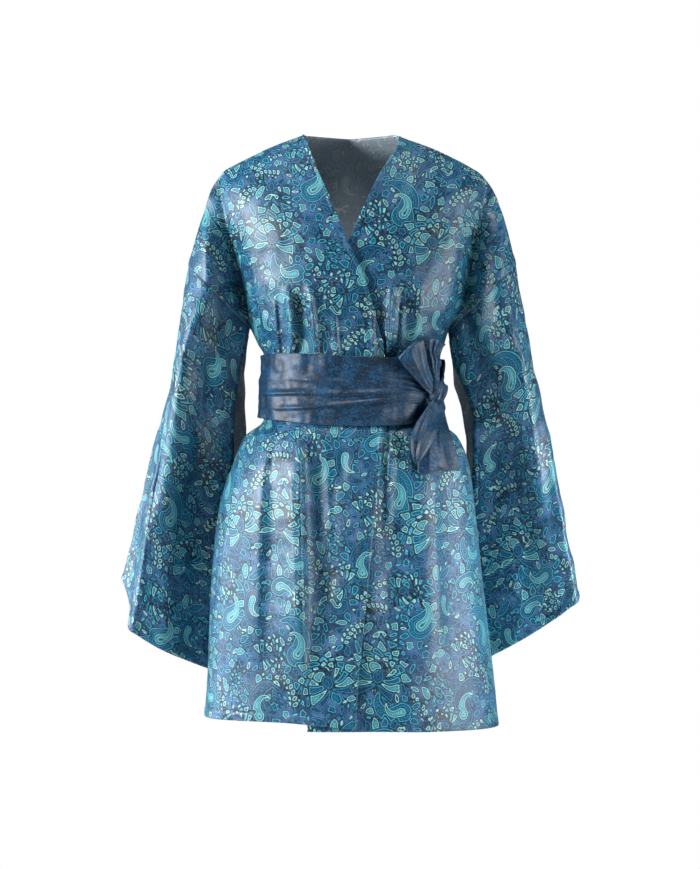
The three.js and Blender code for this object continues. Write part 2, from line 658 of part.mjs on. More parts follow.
const kimono = new THREE.Group();
kimono.add(
  backPanel('back', printCloth),
  frontPanel('front_right', FRONT_RIGHT, 'right', printCloth),
  frontPanel('front_left', FRONT_LEFT, 'left', printCloth),
  sleeve('sleeve_right', SLEEVE_RIGHT, 'right', printCloth),
  sleeve('sleeve_left', SLEEVE_LEFT, 'left', printCloth),
  sashWrap('sash_wrap', sashCloth),
  knot('sash_knot', sashCloth),
  bowPiece('bow_lobe_upper', BOW_LOBE, sashCloth, true),
  bowPiece('tail_upper', TAIL_UPPER, sashCloth),
  bowPiece('tail_lower_left', TAIL_LOWER_LEFT, sashCloth),
  bowPiece('tail_lower_right', TAIL_LOWER_RIGHT, sashCloth),
);

export default kimono;
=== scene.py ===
# %% [markdown]
# # A short kimono, worn, with its sash tied at the side
#
# The garment is cut from printed satin: a back, two fronts that lap, and two wide sleeves that
# hang open below the arm. A wide navy sash holds it shut and ends in a small bow. Nobody is
# inside, yet every piece keeps the hollow form it has on a wearer.
#
# A cloth simulation could find such a form from flat panels, but where each tuck lands would be
# luck. Here every panel is a surface worked out from a few measured tables, so that its outline
# and its folds are placed one by one, and only then is it given its thickness.

# %% Start from the imported model
import math
from types import SimpleNamespace

import bpy
import numpy as np
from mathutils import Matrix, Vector


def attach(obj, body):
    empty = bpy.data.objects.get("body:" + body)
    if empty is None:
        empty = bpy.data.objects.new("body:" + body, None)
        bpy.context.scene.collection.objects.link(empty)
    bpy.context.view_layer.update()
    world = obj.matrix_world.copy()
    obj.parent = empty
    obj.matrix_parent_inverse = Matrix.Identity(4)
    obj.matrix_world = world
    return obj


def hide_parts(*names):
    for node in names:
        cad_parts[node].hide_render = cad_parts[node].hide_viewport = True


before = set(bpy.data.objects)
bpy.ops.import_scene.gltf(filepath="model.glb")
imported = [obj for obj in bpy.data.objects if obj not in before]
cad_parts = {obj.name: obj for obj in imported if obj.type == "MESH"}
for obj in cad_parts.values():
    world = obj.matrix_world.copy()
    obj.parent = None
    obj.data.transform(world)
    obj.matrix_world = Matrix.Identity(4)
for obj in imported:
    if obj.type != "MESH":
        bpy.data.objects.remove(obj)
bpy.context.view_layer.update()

# %% [markdown]
# ## Sizes
#
# A pattern cutter writes down half widths, lengths and depths at a few heights, and draws a
# fair curve between them. The tables below do the same, in millimetres. X runs to the wearer's
# left, the fronts face -Y, and height 0 is at the neck points.

# %% Sizes of the cloth, in millimetres
MM = 0.001
CLOTH = 1.4
SASH_CLOTH = 1.6
SEAM_GAP = 0.3
LAP, LAP_FROM, LAP_RAMP = 2.6, 95, 45
LEAST_DEPTH = 3
BODY_ROUND = 2.3
BLEND = 4
FRONT_SHOULDER, BACK_SHOULDER = 140, 110
NECK_HALF, NECK_TOP, NECK_BACK = 70.5, 6, 8
ARM_DEPTH = 50
WAIST = -370
SASH_OUT, SASH_OUT_SIDE = 7, 5
CHEST_RUN = 1.03  # the cloth's run from the centre to the front edge, for each millimetre of x
SLEEVE_PRINT_TOP = 200  # where in the print a sleeve starts


# %% A fair curve through a column of a table
def fair(keys, values):
    """A smooth curve through the points that never overshoots them."""
    order = np.argsort(keys)
    x, y = np.array(keys, float)[order], np.array(values, float)[order]
    slope = np.diff(y) / np.diff(x)
    before, after = slope[:-1], slope[1:]
    same = before * after > 0
    middle = np.where(same, 2 * before * after / np.where(same, before + after, 1), 0)
    tangent = np.concatenate([slope[:1], middle, slope[-1:]])

    def at(q):
        q = np.clip(q, x[0], x[-1])
        i = np.clip(np.searchsorted(x, q, side="right") - 1, 0, len(x) - 2)
        h = x[i + 1] - x[i]
        t = (q - x[i]) / h
        ends = (1 + 2 * t) * (1 - t) ** 2 * y[i] + t * t * (3 - 2 * t) * y[i + 1]
        return ends + h * (t * (1 - t) ** 2 * tangent[i] - t * t * (1 - t) * tangent[i + 1])

    return at


def curves(names, rows):
    """One fair curve for each named column, over the table's first column."""
    columns = list(zip(*rows))
    named = zip(names.split()[1:], columns[1:])
    return SimpleNamespace(**{name: fair(columns[0], column) for name, column in named})


def mix(a, b, t):
    return a + (b - a) * t


def smooth(t):
    s = np.clip(t, 0, 1)
    return s * s * (3 - 2 * s)


def half_oval(share, power):
    return np.sqrt(np.maximum(0, 1 - np.abs(share) ** power))


# %% The trunk, the upper arm and the shoulder line
TRUNK = curves("z right left front back", [
    (10, 262, 258, 95, 88), (-61, 250, 245, 97, 94), (-123, 212, 206, 104, 100),
    (-172, 186, 191, 110, 100), (-223, 170, 181, 112, 95), (-260, 157, 166, 108, 91),
    (-283, 151.5, 149, 103, 88), (-309, 139, 139.5, 97, 85), (-326, 130, 134, 94, 83),
    (-370, 127, 131, 91, 80), (-421, 131, 133, 93, 82), (-447, 160, 160, 104, 93),
    (-489, 177.6, 177, 112, 103), (-555, 198, 186, 118, 108), (-688, 211, 199.5, 124, 112),
    (-822, 216, 216, 129, 115), (-890, 221, 222, 131, 117),
])
ARM = curves("z right_in right_out left_in left_out", [
    (10, 110, 186, 110, 190), (-49, 125, 188, 125, 191), (-80, 140, 208.5, 138, 213),
    (-123, 150, 225, 148, 231), (-172, 154, 239, 158, 243), (-223, 152, 250.5, 157, 254),
    (-260, 149, 257, 150, 260), (-292, 149, 260, 144, 266),
])
ARM_LOWEST = -292
SHOULDER = curves("x right left", [
    (0, 37, 36), (70.5, 6, 4), (118, -12, -12.5), (157, -31.5, -30.5), (188, -46, -48),
    (260, -80, -84),
])

# %% The outlines of the fronts and the back, row by row
FRONT_COLUMNS = "row in_x in_z out_x out_z lift"
FRONT_RIGHT = curves(FRONT_COLUMNS, [
    (0, -70.5, 6, -186, -45, 3), (1, -66, -8, -199, -62, 3),
    (2, -61.5, -21, -208.5, -79.5, 2), (3, -46.5, -61.5, -216, -102, 1),
    (4, -31.5, -96, -228, -133.5, 0), (5, -19.5, -126, -237, -165, 0),
    (6, -6, -159, -243.8, -190.5, 0), (7, 7.5, -187, -213, -221.5, 0),
    (8, 18, -210, -182.3, -252.5, 0), (9, 27.8, -244, -151.5, -283.5, 0),
    (10, 40.5, -290, -139, -309, 0), (11, 48.5, -324, -130, -326, 0),
    (12, 49, -370, -127, -370, 0), (13, 49.4, -421, -131, -421, 0),
    (14, 45, -458, -160, -447, 0), (15, 42.5, -492, -177.6, -489, 0),
    (16, 34, -560, -198, -555, 0), (17, 25, -658, -208.5, -658, 0),
    (18, 10.5, -800, -215, -800, 2), (19, 7, -868, -219.5, -863.5, 6),
])
FRONT_LEFT = curves(FRONT_COLUMNS, [
    (0, 72, 4, 188, -48, 3), (1, 68, -18, 203, -64, 3), (2, 56, -38, 213, -80, 2),
    (3, 37.5, -70, 224, -104, 1), (4, 22.5, -102, 233, -134, 0),
    (5, 10.5, -130, 241, -165, 0), (6, -2, -158, 247.5, -190, 0),
    (7, -16, -187, 213.5, -223.2, 0), (8, -27, -212, 179.5, -256.4, 0),
    (9, -38, -245, 145.5, -289.5, 0), (10, -46, -290, 139.5, -309, 0),
    (11, -52, -326, 134, -326, 0), (12, -54, -370, 131, -370, 0),
    (13, -55, -421, 133, -421, 0), (14, -56, -458, 160, -447, 0),
    (15, -57, -492, 177, -489, 0), (16, -59, -560, 186, -555, 0),
    (17, -61, -658, 197, -658, 0), (18, -62.5, -800, 213.5, -800, 0),
    (19, -63, -872, 220.5, -877, 2),
])
BACK_CENTRE = curves("row z", [
    (0, 8), (1, -14), (2, -38), (3, -70), (4, -104), (5, -136), (6, -170), (7, -205),
    (8, -238), (9, -272), (10, -302), (11, -326), (12, -370), (13, -421), (14, -449),
    (15, -489), (16, -555), (17, -658), (18, -800), (19, -868),
])
SEAM_TOP_ROW, UNDERARM_ROW, LAST_ROW = 6, 9, 19

# %% [markdown]
# ## Folds
#
# Satin gathers into tucks where the sash grips it, and below the sash the fullness falls in
# long soft folds. Each one is a straight ridge with a width and a height, or a trough where the
# height is negative, and it fades at both ends. A pleat leans over, so one of its sides falls
# more steeply. Creases are the small marks beside the sash, and drapes the deep hollows beside
# the arms. Both fronts read the same lists, so a fold runs through the two layers where they lap.

# %% Folds, listed one by one: from (x0, z0) to (x1, z1), half width, height
FRONT_FOLDS = [
    (-91, -228, -80, -322, 9, 5), (-76, -222, -68, -322, 8, -4),
    (-60, -226, -45, -322, 8, 3.5), (57, -226, 52, -322, 9, 4.5),
    (78, -222, 74, -322, 9, -4), (104, -205, 96, -322, 9, 3.5),
    (-180, -70, -152, -262, 12, -5), (186, -70, 160, -262, 12, -6),
    (-82, -438, -68, -760, 22, 6), (-52, -438, -40, -720, 22, -4),
    (-140, -445, -150, -800, 26, 5), (96, -445, 118, -820, 26, 5),
    (58, -445, 66, -780, 24, -4),
]
BACK_FOLDS = [
    (-92, -236, -78, -322, 10, 4.5), (-48, -240, -42, -322, 9, 3.5),
    (12, -244, 8, -322, 9, -3), (60, -236, 50, -322, 10, 4.5),
    (100, -230, 88, -322, 10, -3.5), (-176, -80, -152, -262, 13, -5),
    (178, -80, 152, -262, 13, -5), (-118, -440, -140, -800, 26, 6),
    (-52, -438, -62, -780, 24, -5), (6, -440, 4, -820, 28, 5),
    (64, -438, 76, -780, 24, -5), (122, -440, 144, -800, 26, 6),
]
# Pleats that lean over: as above, and the last number is how much steeper one side falls,
# towards the wearer's left where it is above 1.
FRONT_PLEATS = [
    (-92, -222, -81, -350, 9.0, 8.5, 2.8), (-61, -220, -46, -350, 8.0, 6.5, 2.8),
    (-112, -240, -104, -345, 7.0, 4.5, 2.6), (-24, -262, -16, -350, 6.0, 3.5, 2.4),
    (58, -222, 52, -352, 7.0, 7.5, 0.4), (76, -240, 70, -350, 7.0, 4.5, 0.4),
    (30, -250, 34, -350, 6.0, 3.5, 0.45),
    (-77, -405, -68, -850, 36.0, 12.5, 5.0), (-128, -405, -140, -790, 26.0, 4.5, 2.5),
    (60, -405, 52, -600, 9.0, 5.0, 0.5), (112, -405, 132, -820, 30.0, 6.5, 3.0),
    (8, -405, 2, -700, 16.0, 3.5, 3.0), (-36, -420, -30, -640, 14.0, 3.0, 3.0),
]
FRONT_CREASES = [
    (-28, -300, -22, -330, 3.5, 2.0), (34, -262, 40, -330, 4.0, -2.0),
    (18, -280, 30, -330, 4.0, 1.6),
    (44, -425, 40, -470, 3.0, 2.2), (62, -425, 50, -478, 4.0, -1.8),
    (44, -448, 56, -462, 3.0, -1.6), (42, -470, 58, -480, 3.0, 1.6),
    (-118, -425, -126, -500, 6.0, 2.4), (-92, -425, -96, -480, 5.0, -2.0),
    (-66, -425, -74, -490, 5.0, 2.2), (118, -425, 130, -500, 6.0, 2.2),
    (-150, -240, -108, -300, 7.0, 2.4), (148, -240, 112, -305, 7.0, 2.6),
    (-10, -430, -14, -520, 8.0, -1.6), (82, -425, 88, -520, 7.0, 1.8),
]
# The deep drapes between arms and trunk, and the long folds that the skirt breaks on.
FRONT_DRAPES = [
    (-205, -40, -158, -300, 19.0, -13.0), (-201, -30, -176, -190, 7.0, -7.0),
    (-184, -120, -153, -300, 7.0, -8.0), (-222, -90, -206, -290, 13.0, 6.0),
    (208, -40, 166, -305, 19.0, -14.0), (205, -40, 186, -190, 7.0, -7.0),
    (190, -120, 166, -310, 7.0, -8.0), (228, -90, 214, -290, 13.0, 6.0),
    (-48, -430, -40, -830, 20.0, -6.0), (28, -440, 16, -860, 20.0, 3.5),
    (142, -430, 160, -820, 18.0, -5.0),
]
BACK_DRAPES = [
    (-204, -40, -158, -300, 17.0, -10.0), (-190, -80, -156, -290, 7.0, -5.0),
    (206, -40, 162, -300, 17.0, -10.0), (192, -80, 160, -290, 7.0, -5.0),
    (-84, -430, -96, -800, 18.0, -5.0), (34, -430, 38, -800, 18.0, 5.0),
    (94, -430, 106, -800, 18.0, -4.0), (-20, -430, -26, -800, 18.0, 4.0),
]
BACK_CREASES = [
    (-70, -262, -60, -328, 4.0, 2.4), (-20, -270, -18, -328, 4.0, -2.0),
    (36, -262, 30, -328, 4.0, 2.2), (84, -262, 74, -328, 4.0, 2.2),
    (-150, -235, -112, -300, 7.0, 2.6), (150, -235, 114, -300, 7.0, 2.6),
    (-96, -425, -104, -500, 6.0, 2.4), (-30, -425, -32, -500, 6.0, -2.2),
    (34, -425, 38, -500, 6.0, 2.2), (98, -425, 108, -500, 6.0, -2.2),
    (-210, -130, -182, -230, 10.0, 3.0), (210, -130, 184, -232, 10.0, 3.0),
]


def fold_relief(folds, x, z):
    total = np.zeros(np.broadcast(x, z).shape)
    for x0, z0, x1, z1, wide, high in folds:
        dx, dz = x1 - x0, z1 - z0
        length = math.hypot(dx, dz)
        along = ((x - x0) * dx + (z - z0) * dz) / length ** 2
        across = ((x - x0) * dz - (z - z0) * dx) / length
        fade = smooth(along / 0.25) * smooth((1 - along) / 0.25)
        total += high * fade * np.exp(-((across / wide) ** 2))
    return total


def leaning(distance, wide, steeper):
    """A ridge's height share at a distance from its line, with one side steeper."""
    return np.exp(-((distance / wide * np.where(distance > 0, steeper, 1)) ** 2))


def pleat_relief(pleats, x, z):
    total = np.zeros(np.broadcast(x, z).shape)
    for x0, z0, x1, z1, wide, high, steeper in pleats:
        along = (z - z0) / (z1 - z0)
        distance = x - mix(x0, x1, along)
        fade = smooth(along / 0.22) * smooth((1 - along) / 0.3)
        if steeper < 1:
            total += high * fade * leaning(-distance, wide, 1 / steeper)
        else:
            total += high * fade * leaning(distance, wide, steeper)
    return total


RIPPLE_WAVES = 7


def ripple(u, v, seed, wave, high):
    """A gentle unevenness: a few long waves in directions drawn from a fixed seed."""
    rng = np.random.default_rng(seed)
    total = np.zeros(np.broadcast(u, v).shape)
    for _ in range(RIPPLE_WAVES):
        angle, phase = rng.uniform(0, math.pi), rng.uniform(0, 2 * math.pi)
        length = wave * rng.uniform(0.7, 1.5)
        total += np.sin((u * math.cos(angle) + v * math.sin(angle)) * 2 * math.pi / length + phase)
    return total * high / math.sqrt(RIPPLE_WAVES)


# %% How far the cloth stands from the side plane
RELIEFS = {"front": (FRONT_FOLDS, FRONT_CREASES, FRONT_DRAPES),
           "back": (BACK_FOLDS, BACK_CREASES, BACK_DRAPES)}
RIPPLE_SEEDS = {"front": 11, "back": 12}
PRESSED_FOLD, FREE_FOLD, CALMED = 2.6, 14, 0.75
FULL_RELIEF_DEPTH = 40


def side_of(x, right, left):
    return np.where(x < 0, right, left)


def depth(x, z, face):
    """How far the cloth stands forward, or back, over a place seen from the front."""
    far = np.abs(x)
    round_over = FRONT_SHOULDER if face == "front" else BACK_SHOULDER
    line = side_of(x, SHOULDER.right(far), SHOULDER.left(far))
    below = np.clip((line - z) / round_over, 0, 1)
    from_top = np.sqrt(1 - (1 - below) ** 2)
    half_width = side_of(x, TRUNK.right(z), TRUNK.left(z))
    body = getattr(TRUNK, face)(z) * half_oval(far / half_width, BODY_ROUND)
    inner = side_of(x, ARM.right_in(z), ARM.left_in(z))
    outer = side_of(x, ARM.right_out(z), ARM.left_out(z))
    share = np.clip((far - (inner + outer) / 2) / ((outer - inner) / 2), -1, 1)
    limb = ARM_DEPTH * half_oval(share, 2) * (z > ARM_LOWEST)
    both = (body ** BLEND + limb ** BLEND) ** (1 / BLEND)
    folds = sum(fold_relief(part, x, z) for part in RELIEFS[face])
    if face == "front":
        folds = folds + pleat_relief(FRONT_PLEATS, x, z)
    # The sash presses the folds flat and calms the ripples.
    hidden = smooth((z + 445) / 14) * smooth((-312 - z) / 14)
    folds = np.minimum(folds, PRESSED_FOLD + FREE_FOLD * (1 - hidden))
    loose = 1 - CALMED * smooth((z + 450) / 20) * smooth((-300 - z) / 20)
    for more, wave, high in ((0, 90, 1.1), (5, 34, 0.32)):
        folds = folds + loose * ripple(x, z, RIPPLE_SEEDS[face] + more, wave, high)
    return from_top * both + folds * smooth(both / FULL_RELIEF_DEPTH)


# %% [markdown]
# ## From a grid of points to a cloth wall
#
# The outer face is a fine grid, because it carries the print. The inner face hides in the
# hollow, so it uses every second point. A rim of long faces closes the wall all round. Doing
# this by hand, and not with a Solidify modifier, keeps the two faces at different densities and
# keeps each seam edge square to its seam.

# %% Wall builder
INNER_STEP = 2


def unit(a):
    return a / np.maximum(np.linalg.norm(a, axis=-1, keepdims=True), 1e-12)


def grid_normals(points, ringed=False):
    if ringed:
        across = np.roll(points, -1, 1) - np.roll(points, 1, 1)
    else:
        across = np.gradient(points, axis=1)
    return unit(np.cross(np.gradient(points, axis=0), across))


def squared(normals, where, plane):
    """Turns the normals at an edge so that they lie in the seam's plane."""
    n = normals[where]
    normals[where] = unit(n - (n @ plane)[..., None] * plane)


def quads(ids, flip=False):
    a, b, c, d = ids[:-1, :-1], ids[1:, :-1], ids[1:, 1:], ids[:-1, 1:]
    faces = np.stack([a, b, c, d] if not flip else [a, d, c, b], -1)
    return faces.reshape(-1, 4)


def rim(fine, coarse, step):
    """Closes one edge: `step` fine edges against one coarse edge in each face."""
    faces = []
    for k in range(len(coarse) - 1):
        front = fine[k * step:(k + 1) * step + 1]
        faces.append([*front, coarse[k + 1], coarse[k]])
    return faces


def wall(name, points, normals, thick, uv, ringed=False, step=INNER_STEP):
    """points[i, j] is the outer face in millimetres, seen from outside with j to the right."""
    rows, cols = points.shape[:2]
    inner = (points - normals * thick)[::step, ::step]
    flat = np.concatenate([points.reshape(-1, 3), inner.reshape(-1, 3)])
    outer_ids = np.arange(rows * cols).reshape(rows, cols)
    inner_ids = rows * cols + np.arange(inner.shape[0] * inner.shape[1]).reshape(inner.shape[:2])
    if ringed:
        outer_ids = np.hstack([outer_ids, outer_ids[:, :1]])
        inner_ids = np.hstack([inner_ids, inner_ids[:, :1]])
    big = np.concatenate([quads(outer_ids), quads(inner_ids, flip=True)])
    rims = rim(outer_ids[0], inner_ids[0], step)
    rims += rim(outer_ids[-1][::-1], inner_ids[-1][::-1], step)
    if not ringed:
        rims += rim(outer_ids[:, 0][::-1], inner_ids[:, 0][::-1], step)
        rims += rim(outer_ids[:, -1], inner_ids[:, -1], step)
    sizes = np.concatenate([np.full(len(big), 4), [len(f) for f in rims]]).astype(np.int32)
    corners = np.concatenate([big.ravel(), np.concatenate(rims)]).astype(np.int32)
    mesh = bpy.data.meshes.new(name)
    mesh.vertices.add(len(flat))
    mesh.vertices.foreach_set("co", (flat * MM).astype(np.float32).ravel())
    mesh.loops.add(len(corners))
    mesh.loops.foreach_set("vertex_index", corners)
    mesh.polygons.add(len(sizes))
    starts = np.concatenate([[0], np.cumsum(sizes)[:-1]]).astype(np.int32)
    mesh.polygons.foreach_set("loop_start", starts)
    material = np.zeros(len(sizes), np.int32)
    material[(rows - 1) * (outer_ids.shape[1] - 1):len(big)] = 1
    mesh.polygons.foreach_set("material_index", material)
    mesh.update(calc_edges=True)
    mesh.polygons.foreach_set("use_smooth", np.ones(len(sizes), bool))
    all_uv = np.concatenate([uv.reshape(-1, 2), uv[::step, ::step].reshape(-1, 2)])
    layer = mesh.uv_layers.new(name="cloth")
    layer.data.foreach_set("uv", (all_uv[corners] * MM).astype(np.float32).ravel())
    mesh.validate()
    piece = bpy.data.objects.new(name, mesh)
    bpy.context.scene.collection.objects.link(piece)
    print(name, len(flat), "points,", round(cloth_area(points), 4), "square metres")
    return piece, all_uv


def cloth_area(points):
    a = points[1:, 1:] - points[:-1, :-1]
    b = points[1:, :-1] - points[:-1, 1:]
    return float(np.linalg.norm(np.cross(a, b), axis=-1).sum() / 2 * MM * MM)


# %% [markdown]
# ## Fronts and back
#
# On a flat kimono the shoulder seam runs straight out and the sleeve hangs from it. On a wearer
# the panel bends over the upper arm, so each row of the grid starts at the neckline or the front
# edge, crosses the chest, dips into the drape beside the arm, and ends at the sleeve seam.

# %% The sleeve seams, and rows spaced evenly along a panel
Y_AXIS = np.array([0.0, 1.0, 0.0])
OVER_SHOULDER = 1.3  # extra rows where the cloth turns over the shoulder


def armhole(rows):
    a = np.array([rows.out_x(SEAM_TOP_ROW), 0, rows.out_z(SEAM_TOP_ROW)])
    b = np.array([rows.out_x(UNDERARM_ROW), 0, rows.out_z(UNDERARM_ROW)])
    upward = unit(a - b)
    plane = np.cross(upward, Y_AXIS)
    return SimpleNamespace(a=a, b=b, upward=upward, plane=-plane * np.sign(plane[2]))


HOLES = {"right": armhole(FRONT_RIGHT), "left": armhole(FRONT_LEFT)}
FRONTS = {"right": FRONT_RIGHT, "left": FRONT_LEFT}


def outer_edge(side, row):
    """Where a row ends, which is dead straight along the sleeve seam."""
    hole, edge = HOLES[side], FRONTS[side]
    seam = np.clip((row - SEAM_TOP_ROW) / (UNDERARM_ROW - SEAM_TOP_ROW), 0, 1)[..., None]
    line = hole.a + (hole.b - hole.a) * seam
    on_seam = (row >= SEAM_TOP_ROW) & (row <= UNDERARM_ROW)
    x = np.where(on_seam, line[..., 0], edge.out_x(row))
    return x, np.where(on_seam, line[..., 2], edge.out_z(row))


def outer_curves(side):
    """The outer edge as two curves over the row number, for x and for z."""
    return (lambda row: outer_edge(side, row)[0]), (lambda row: outer_edge(side, row)[1])


def even_rows(inner_xz, outer_xz, pitch):
    """Row numbers about `pitch` apart on the cloth, with a row at each end of the seam."""
    rows = [np.array([0.0])]
    for start, end, more in ((0, SEAM_TOP_ROW, OVER_SHOULDER), (SEAM_TOP_ROW, UNDERARM_ROW, 1),
                             (UNDERARM_ROW, LAST_ROW, 1)):
        fine = np.linspace(start, end, 800)
        step = sum(np.hypot(np.diff(x(fine)), np.diff(z(fine)))
                   for x, z in (inner_xz, outer_xz)) / 2
        run = np.concatenate([[0], np.cumsum(step)])
        count = 2 * max(2, round(run[-1] * more / pitch / 2))
        rows.append(np.interp(np.linspace(0, run[-1], count + 1)[1:], run, fine))
    return np.concatenate(rows)


def even_turn(cols, start, squash=0.55):
    """Angles from `start` to a right angle, about evenly spaced along a flattened oval."""
    share = np.linspace(0, 1, 400)
    angle = start[:, None] + (math.pi / 2 - start[:, None]) * share
    speed = np.sqrt(np.cos(angle) ** 2 + (squash * np.sin(angle)) ** 2)
    steps = (speed[:, 1:] + speed[:, :-1]) / 2
    run = np.cumsum(np.concatenate([np.zeros((len(start), 1)), steps], 1), 1)
    run /= run[:, -1:]
    wanted = np.linspace(0, 1, cols + 1)
    return np.stack([np.interp(wanted, r, a) for r, a in zip(run, angle)])


def cloth_run(points, axis, keep=(0, 1)):
    """Length along the grid, reckoned in the directions that `keep` numbers."""
    step = np.diff(points[..., list(keep)], axis=axis)
    length = np.linalg.norm(step, axis=-1)
    zero = np.zeros_like(np.take(length, [0], axis=axis))
    return np.concatenate([zero, np.cumsum(length, axis=axis)], axis=axis)


def evened(lines, strength):
    """Spaces the points of each line evenly along it, as far as `strength` 0 to 1 says."""
    run = cloth_run(lines, 1, keep=(0, 1, 2))
    even = run[:, -1:] * np.linspace(0, 1, lines.shape[1])
    wanted = mix(run, even, strength[:, None])
    placed = [[np.interp(w, r, line[:, k]) for k in range(3)]
              for w, r, line in zip(wanted, run, lines)]
    return np.array(placed).transpose(0, 2, 1)


def spread_out(points, rows):
    """Moves points along the cloth to where it turns over the shoulder and at the side seams."""
    on_shoulder = smooth((SEAM_TOP_ROW - rows) / 2)
    below_arm = smooth((rows - UNDERARM_ROW) / 2)
    points = evened(points, on_shoulder + below_arm)
    top = int(np.abs(rows - SEAM_TOP_ROW).argmin())
    columns = points[:top + 1].transpose(1, 0, 2)
    columns = evened(columns, np.ones(len(columns)))
    return np.concatenate([columns.transpose(1, 0, 2), points[top + 1:]])


def drop_run(points):
    """Length down the cloth from the waist row, with the slant of the columns taken out."""
    step = np.diff(points, axis=0)
    across = np.gradient(points, axis=1)[1:]
    across = unit(across * np.array([1, 1, 0]))
    step = step - (step * across).sum(-1, keepdims=True) * across
    length = np.linalg.norm(step, axis=-1)
    run = np.concatenate([np.zeros_like(length[:1]), np.cumsum(length, axis=0)])
    waist = np.abs(points[:, :, 2].mean(1) - WAIST).argmin()
    return -(run - run[waist]) + WAIST


# %% Turned-over edges
HEM_RISE, HEM_DIP, HEM_ROWS, EDGE_COLUMNS = 0.7, 0.35, 6, 4
SEWN = {}


def hemmed(name, points, normals, hem=True, first=False, last=False, start=0):
    """Raises a turned-over edge by a fold of cloth, and keeps the lines its stitches follow."""
    lift = np.zeros(points.shape[:2])
    if first:
        lift[start:, :EDGE_COLUMNS] = HEM_RISE
        lift[start:, EDGE_COLUMNS] = -HEM_DIP
    if last:
        lift[start:, -EDGE_COLUMNS:] = HEM_RISE
        lift[start:, -EDGE_COLUMNS - 1] = -HEM_DIP
    if hem:
        lift[-HEM_ROWS:] = HEM_RISE
        lift[-HEM_ROWS - 1, EDGE_COLUMNS * first:] = -HEM_DIP
    raised = points + normals * lift[..., None]
    lines = [raised[-HEM_ROWS, ::2]] if hem else []
    lines += [raised[start:, EDGE_COLUMNS - 1]] if first else []
    lines += [raised[start:, -EDGE_COLUMNS]] if last else []
    SEWN[name] = lines
    return raised


# %% Fronts
def front_panel(name, side, cols, pitch):
    edge = FRONTS[side]
    rows = even_rows((edge.in_x, edge.in_z), outer_curves(side), pitch)
    sign = -1 if side == "right" else 1
    in_x, in_z = edge.in_x(rows), edge.in_z(rows)
    out_x, out_z = outer_edge(side, rows)
    angle = even_turn(cols, np.arcsin(in_x / out_x))
    x = out_x[:, None] * np.sin(angle)
    x[:, -1] = out_x
    share = (x - in_x[:, None]) / (out_x - in_x)[:, None]
    lift = edge.lift(rows)[:, None] * np.sin(math.pi * share)
    z = mix(in_z[:, None], out_z[:, None], share) + lift
    lap = -sign * LAP * smooth((LAP_FROM - x * sign) / LAP_RAMP) * smooth(rows / 3)[:, None]
    y = np.maximum(depth(x, z, "front") + lap, LEAST_DEPTH)
    off_seam = (rows <= SEAM_TOP_ROW) | (rows >= UNDERARM_ROW)
    y[0] = 0
    y[:, -1] = np.where(off_seam, 0, np.maximum(depth(x, z, "front")[:, -1], 0))
    points = np.stack([x, -y - SEAM_GAP / 2, z], -1)
    hole = HOLES[side]
    on_seam = (rows >= SEAM_TOP_ROW) & (rows <= UNDERARM_ROW)
    points[on_seam, -1] -= hole.plane * SEAM_GAP / 2
    points = spread_out(points, rows)
    u = cloth_run(points, 1) * sign + in_x[:, None] * CHEST_RUN
    uv = np.stack([u, drop_run(points)], -1)
    normals = grid_normals(points)
    normals *= np.sign(-normals[len(rows) // 2, cols // 2, 1])
    squared(normals, (slice(0, 1), slice(None)), Y_AXIS)
    squared(normals, (off_seam, -1), Y_AXIS)
    for column in (-1, -2):
        squared(normals, (on_seam, column), hole.plane)
    normals[rows == UNDERARM_ROW, -1] = hole.upward
    points = hemmed(name, points, normals, first=True, start=2)
    if side == "right":  # columns always run to the right as seen from outside
        points, normals, uv = points[:, ::-1], normals[:, ::-1], uv[:, ::-1]
    return points, normals, uv


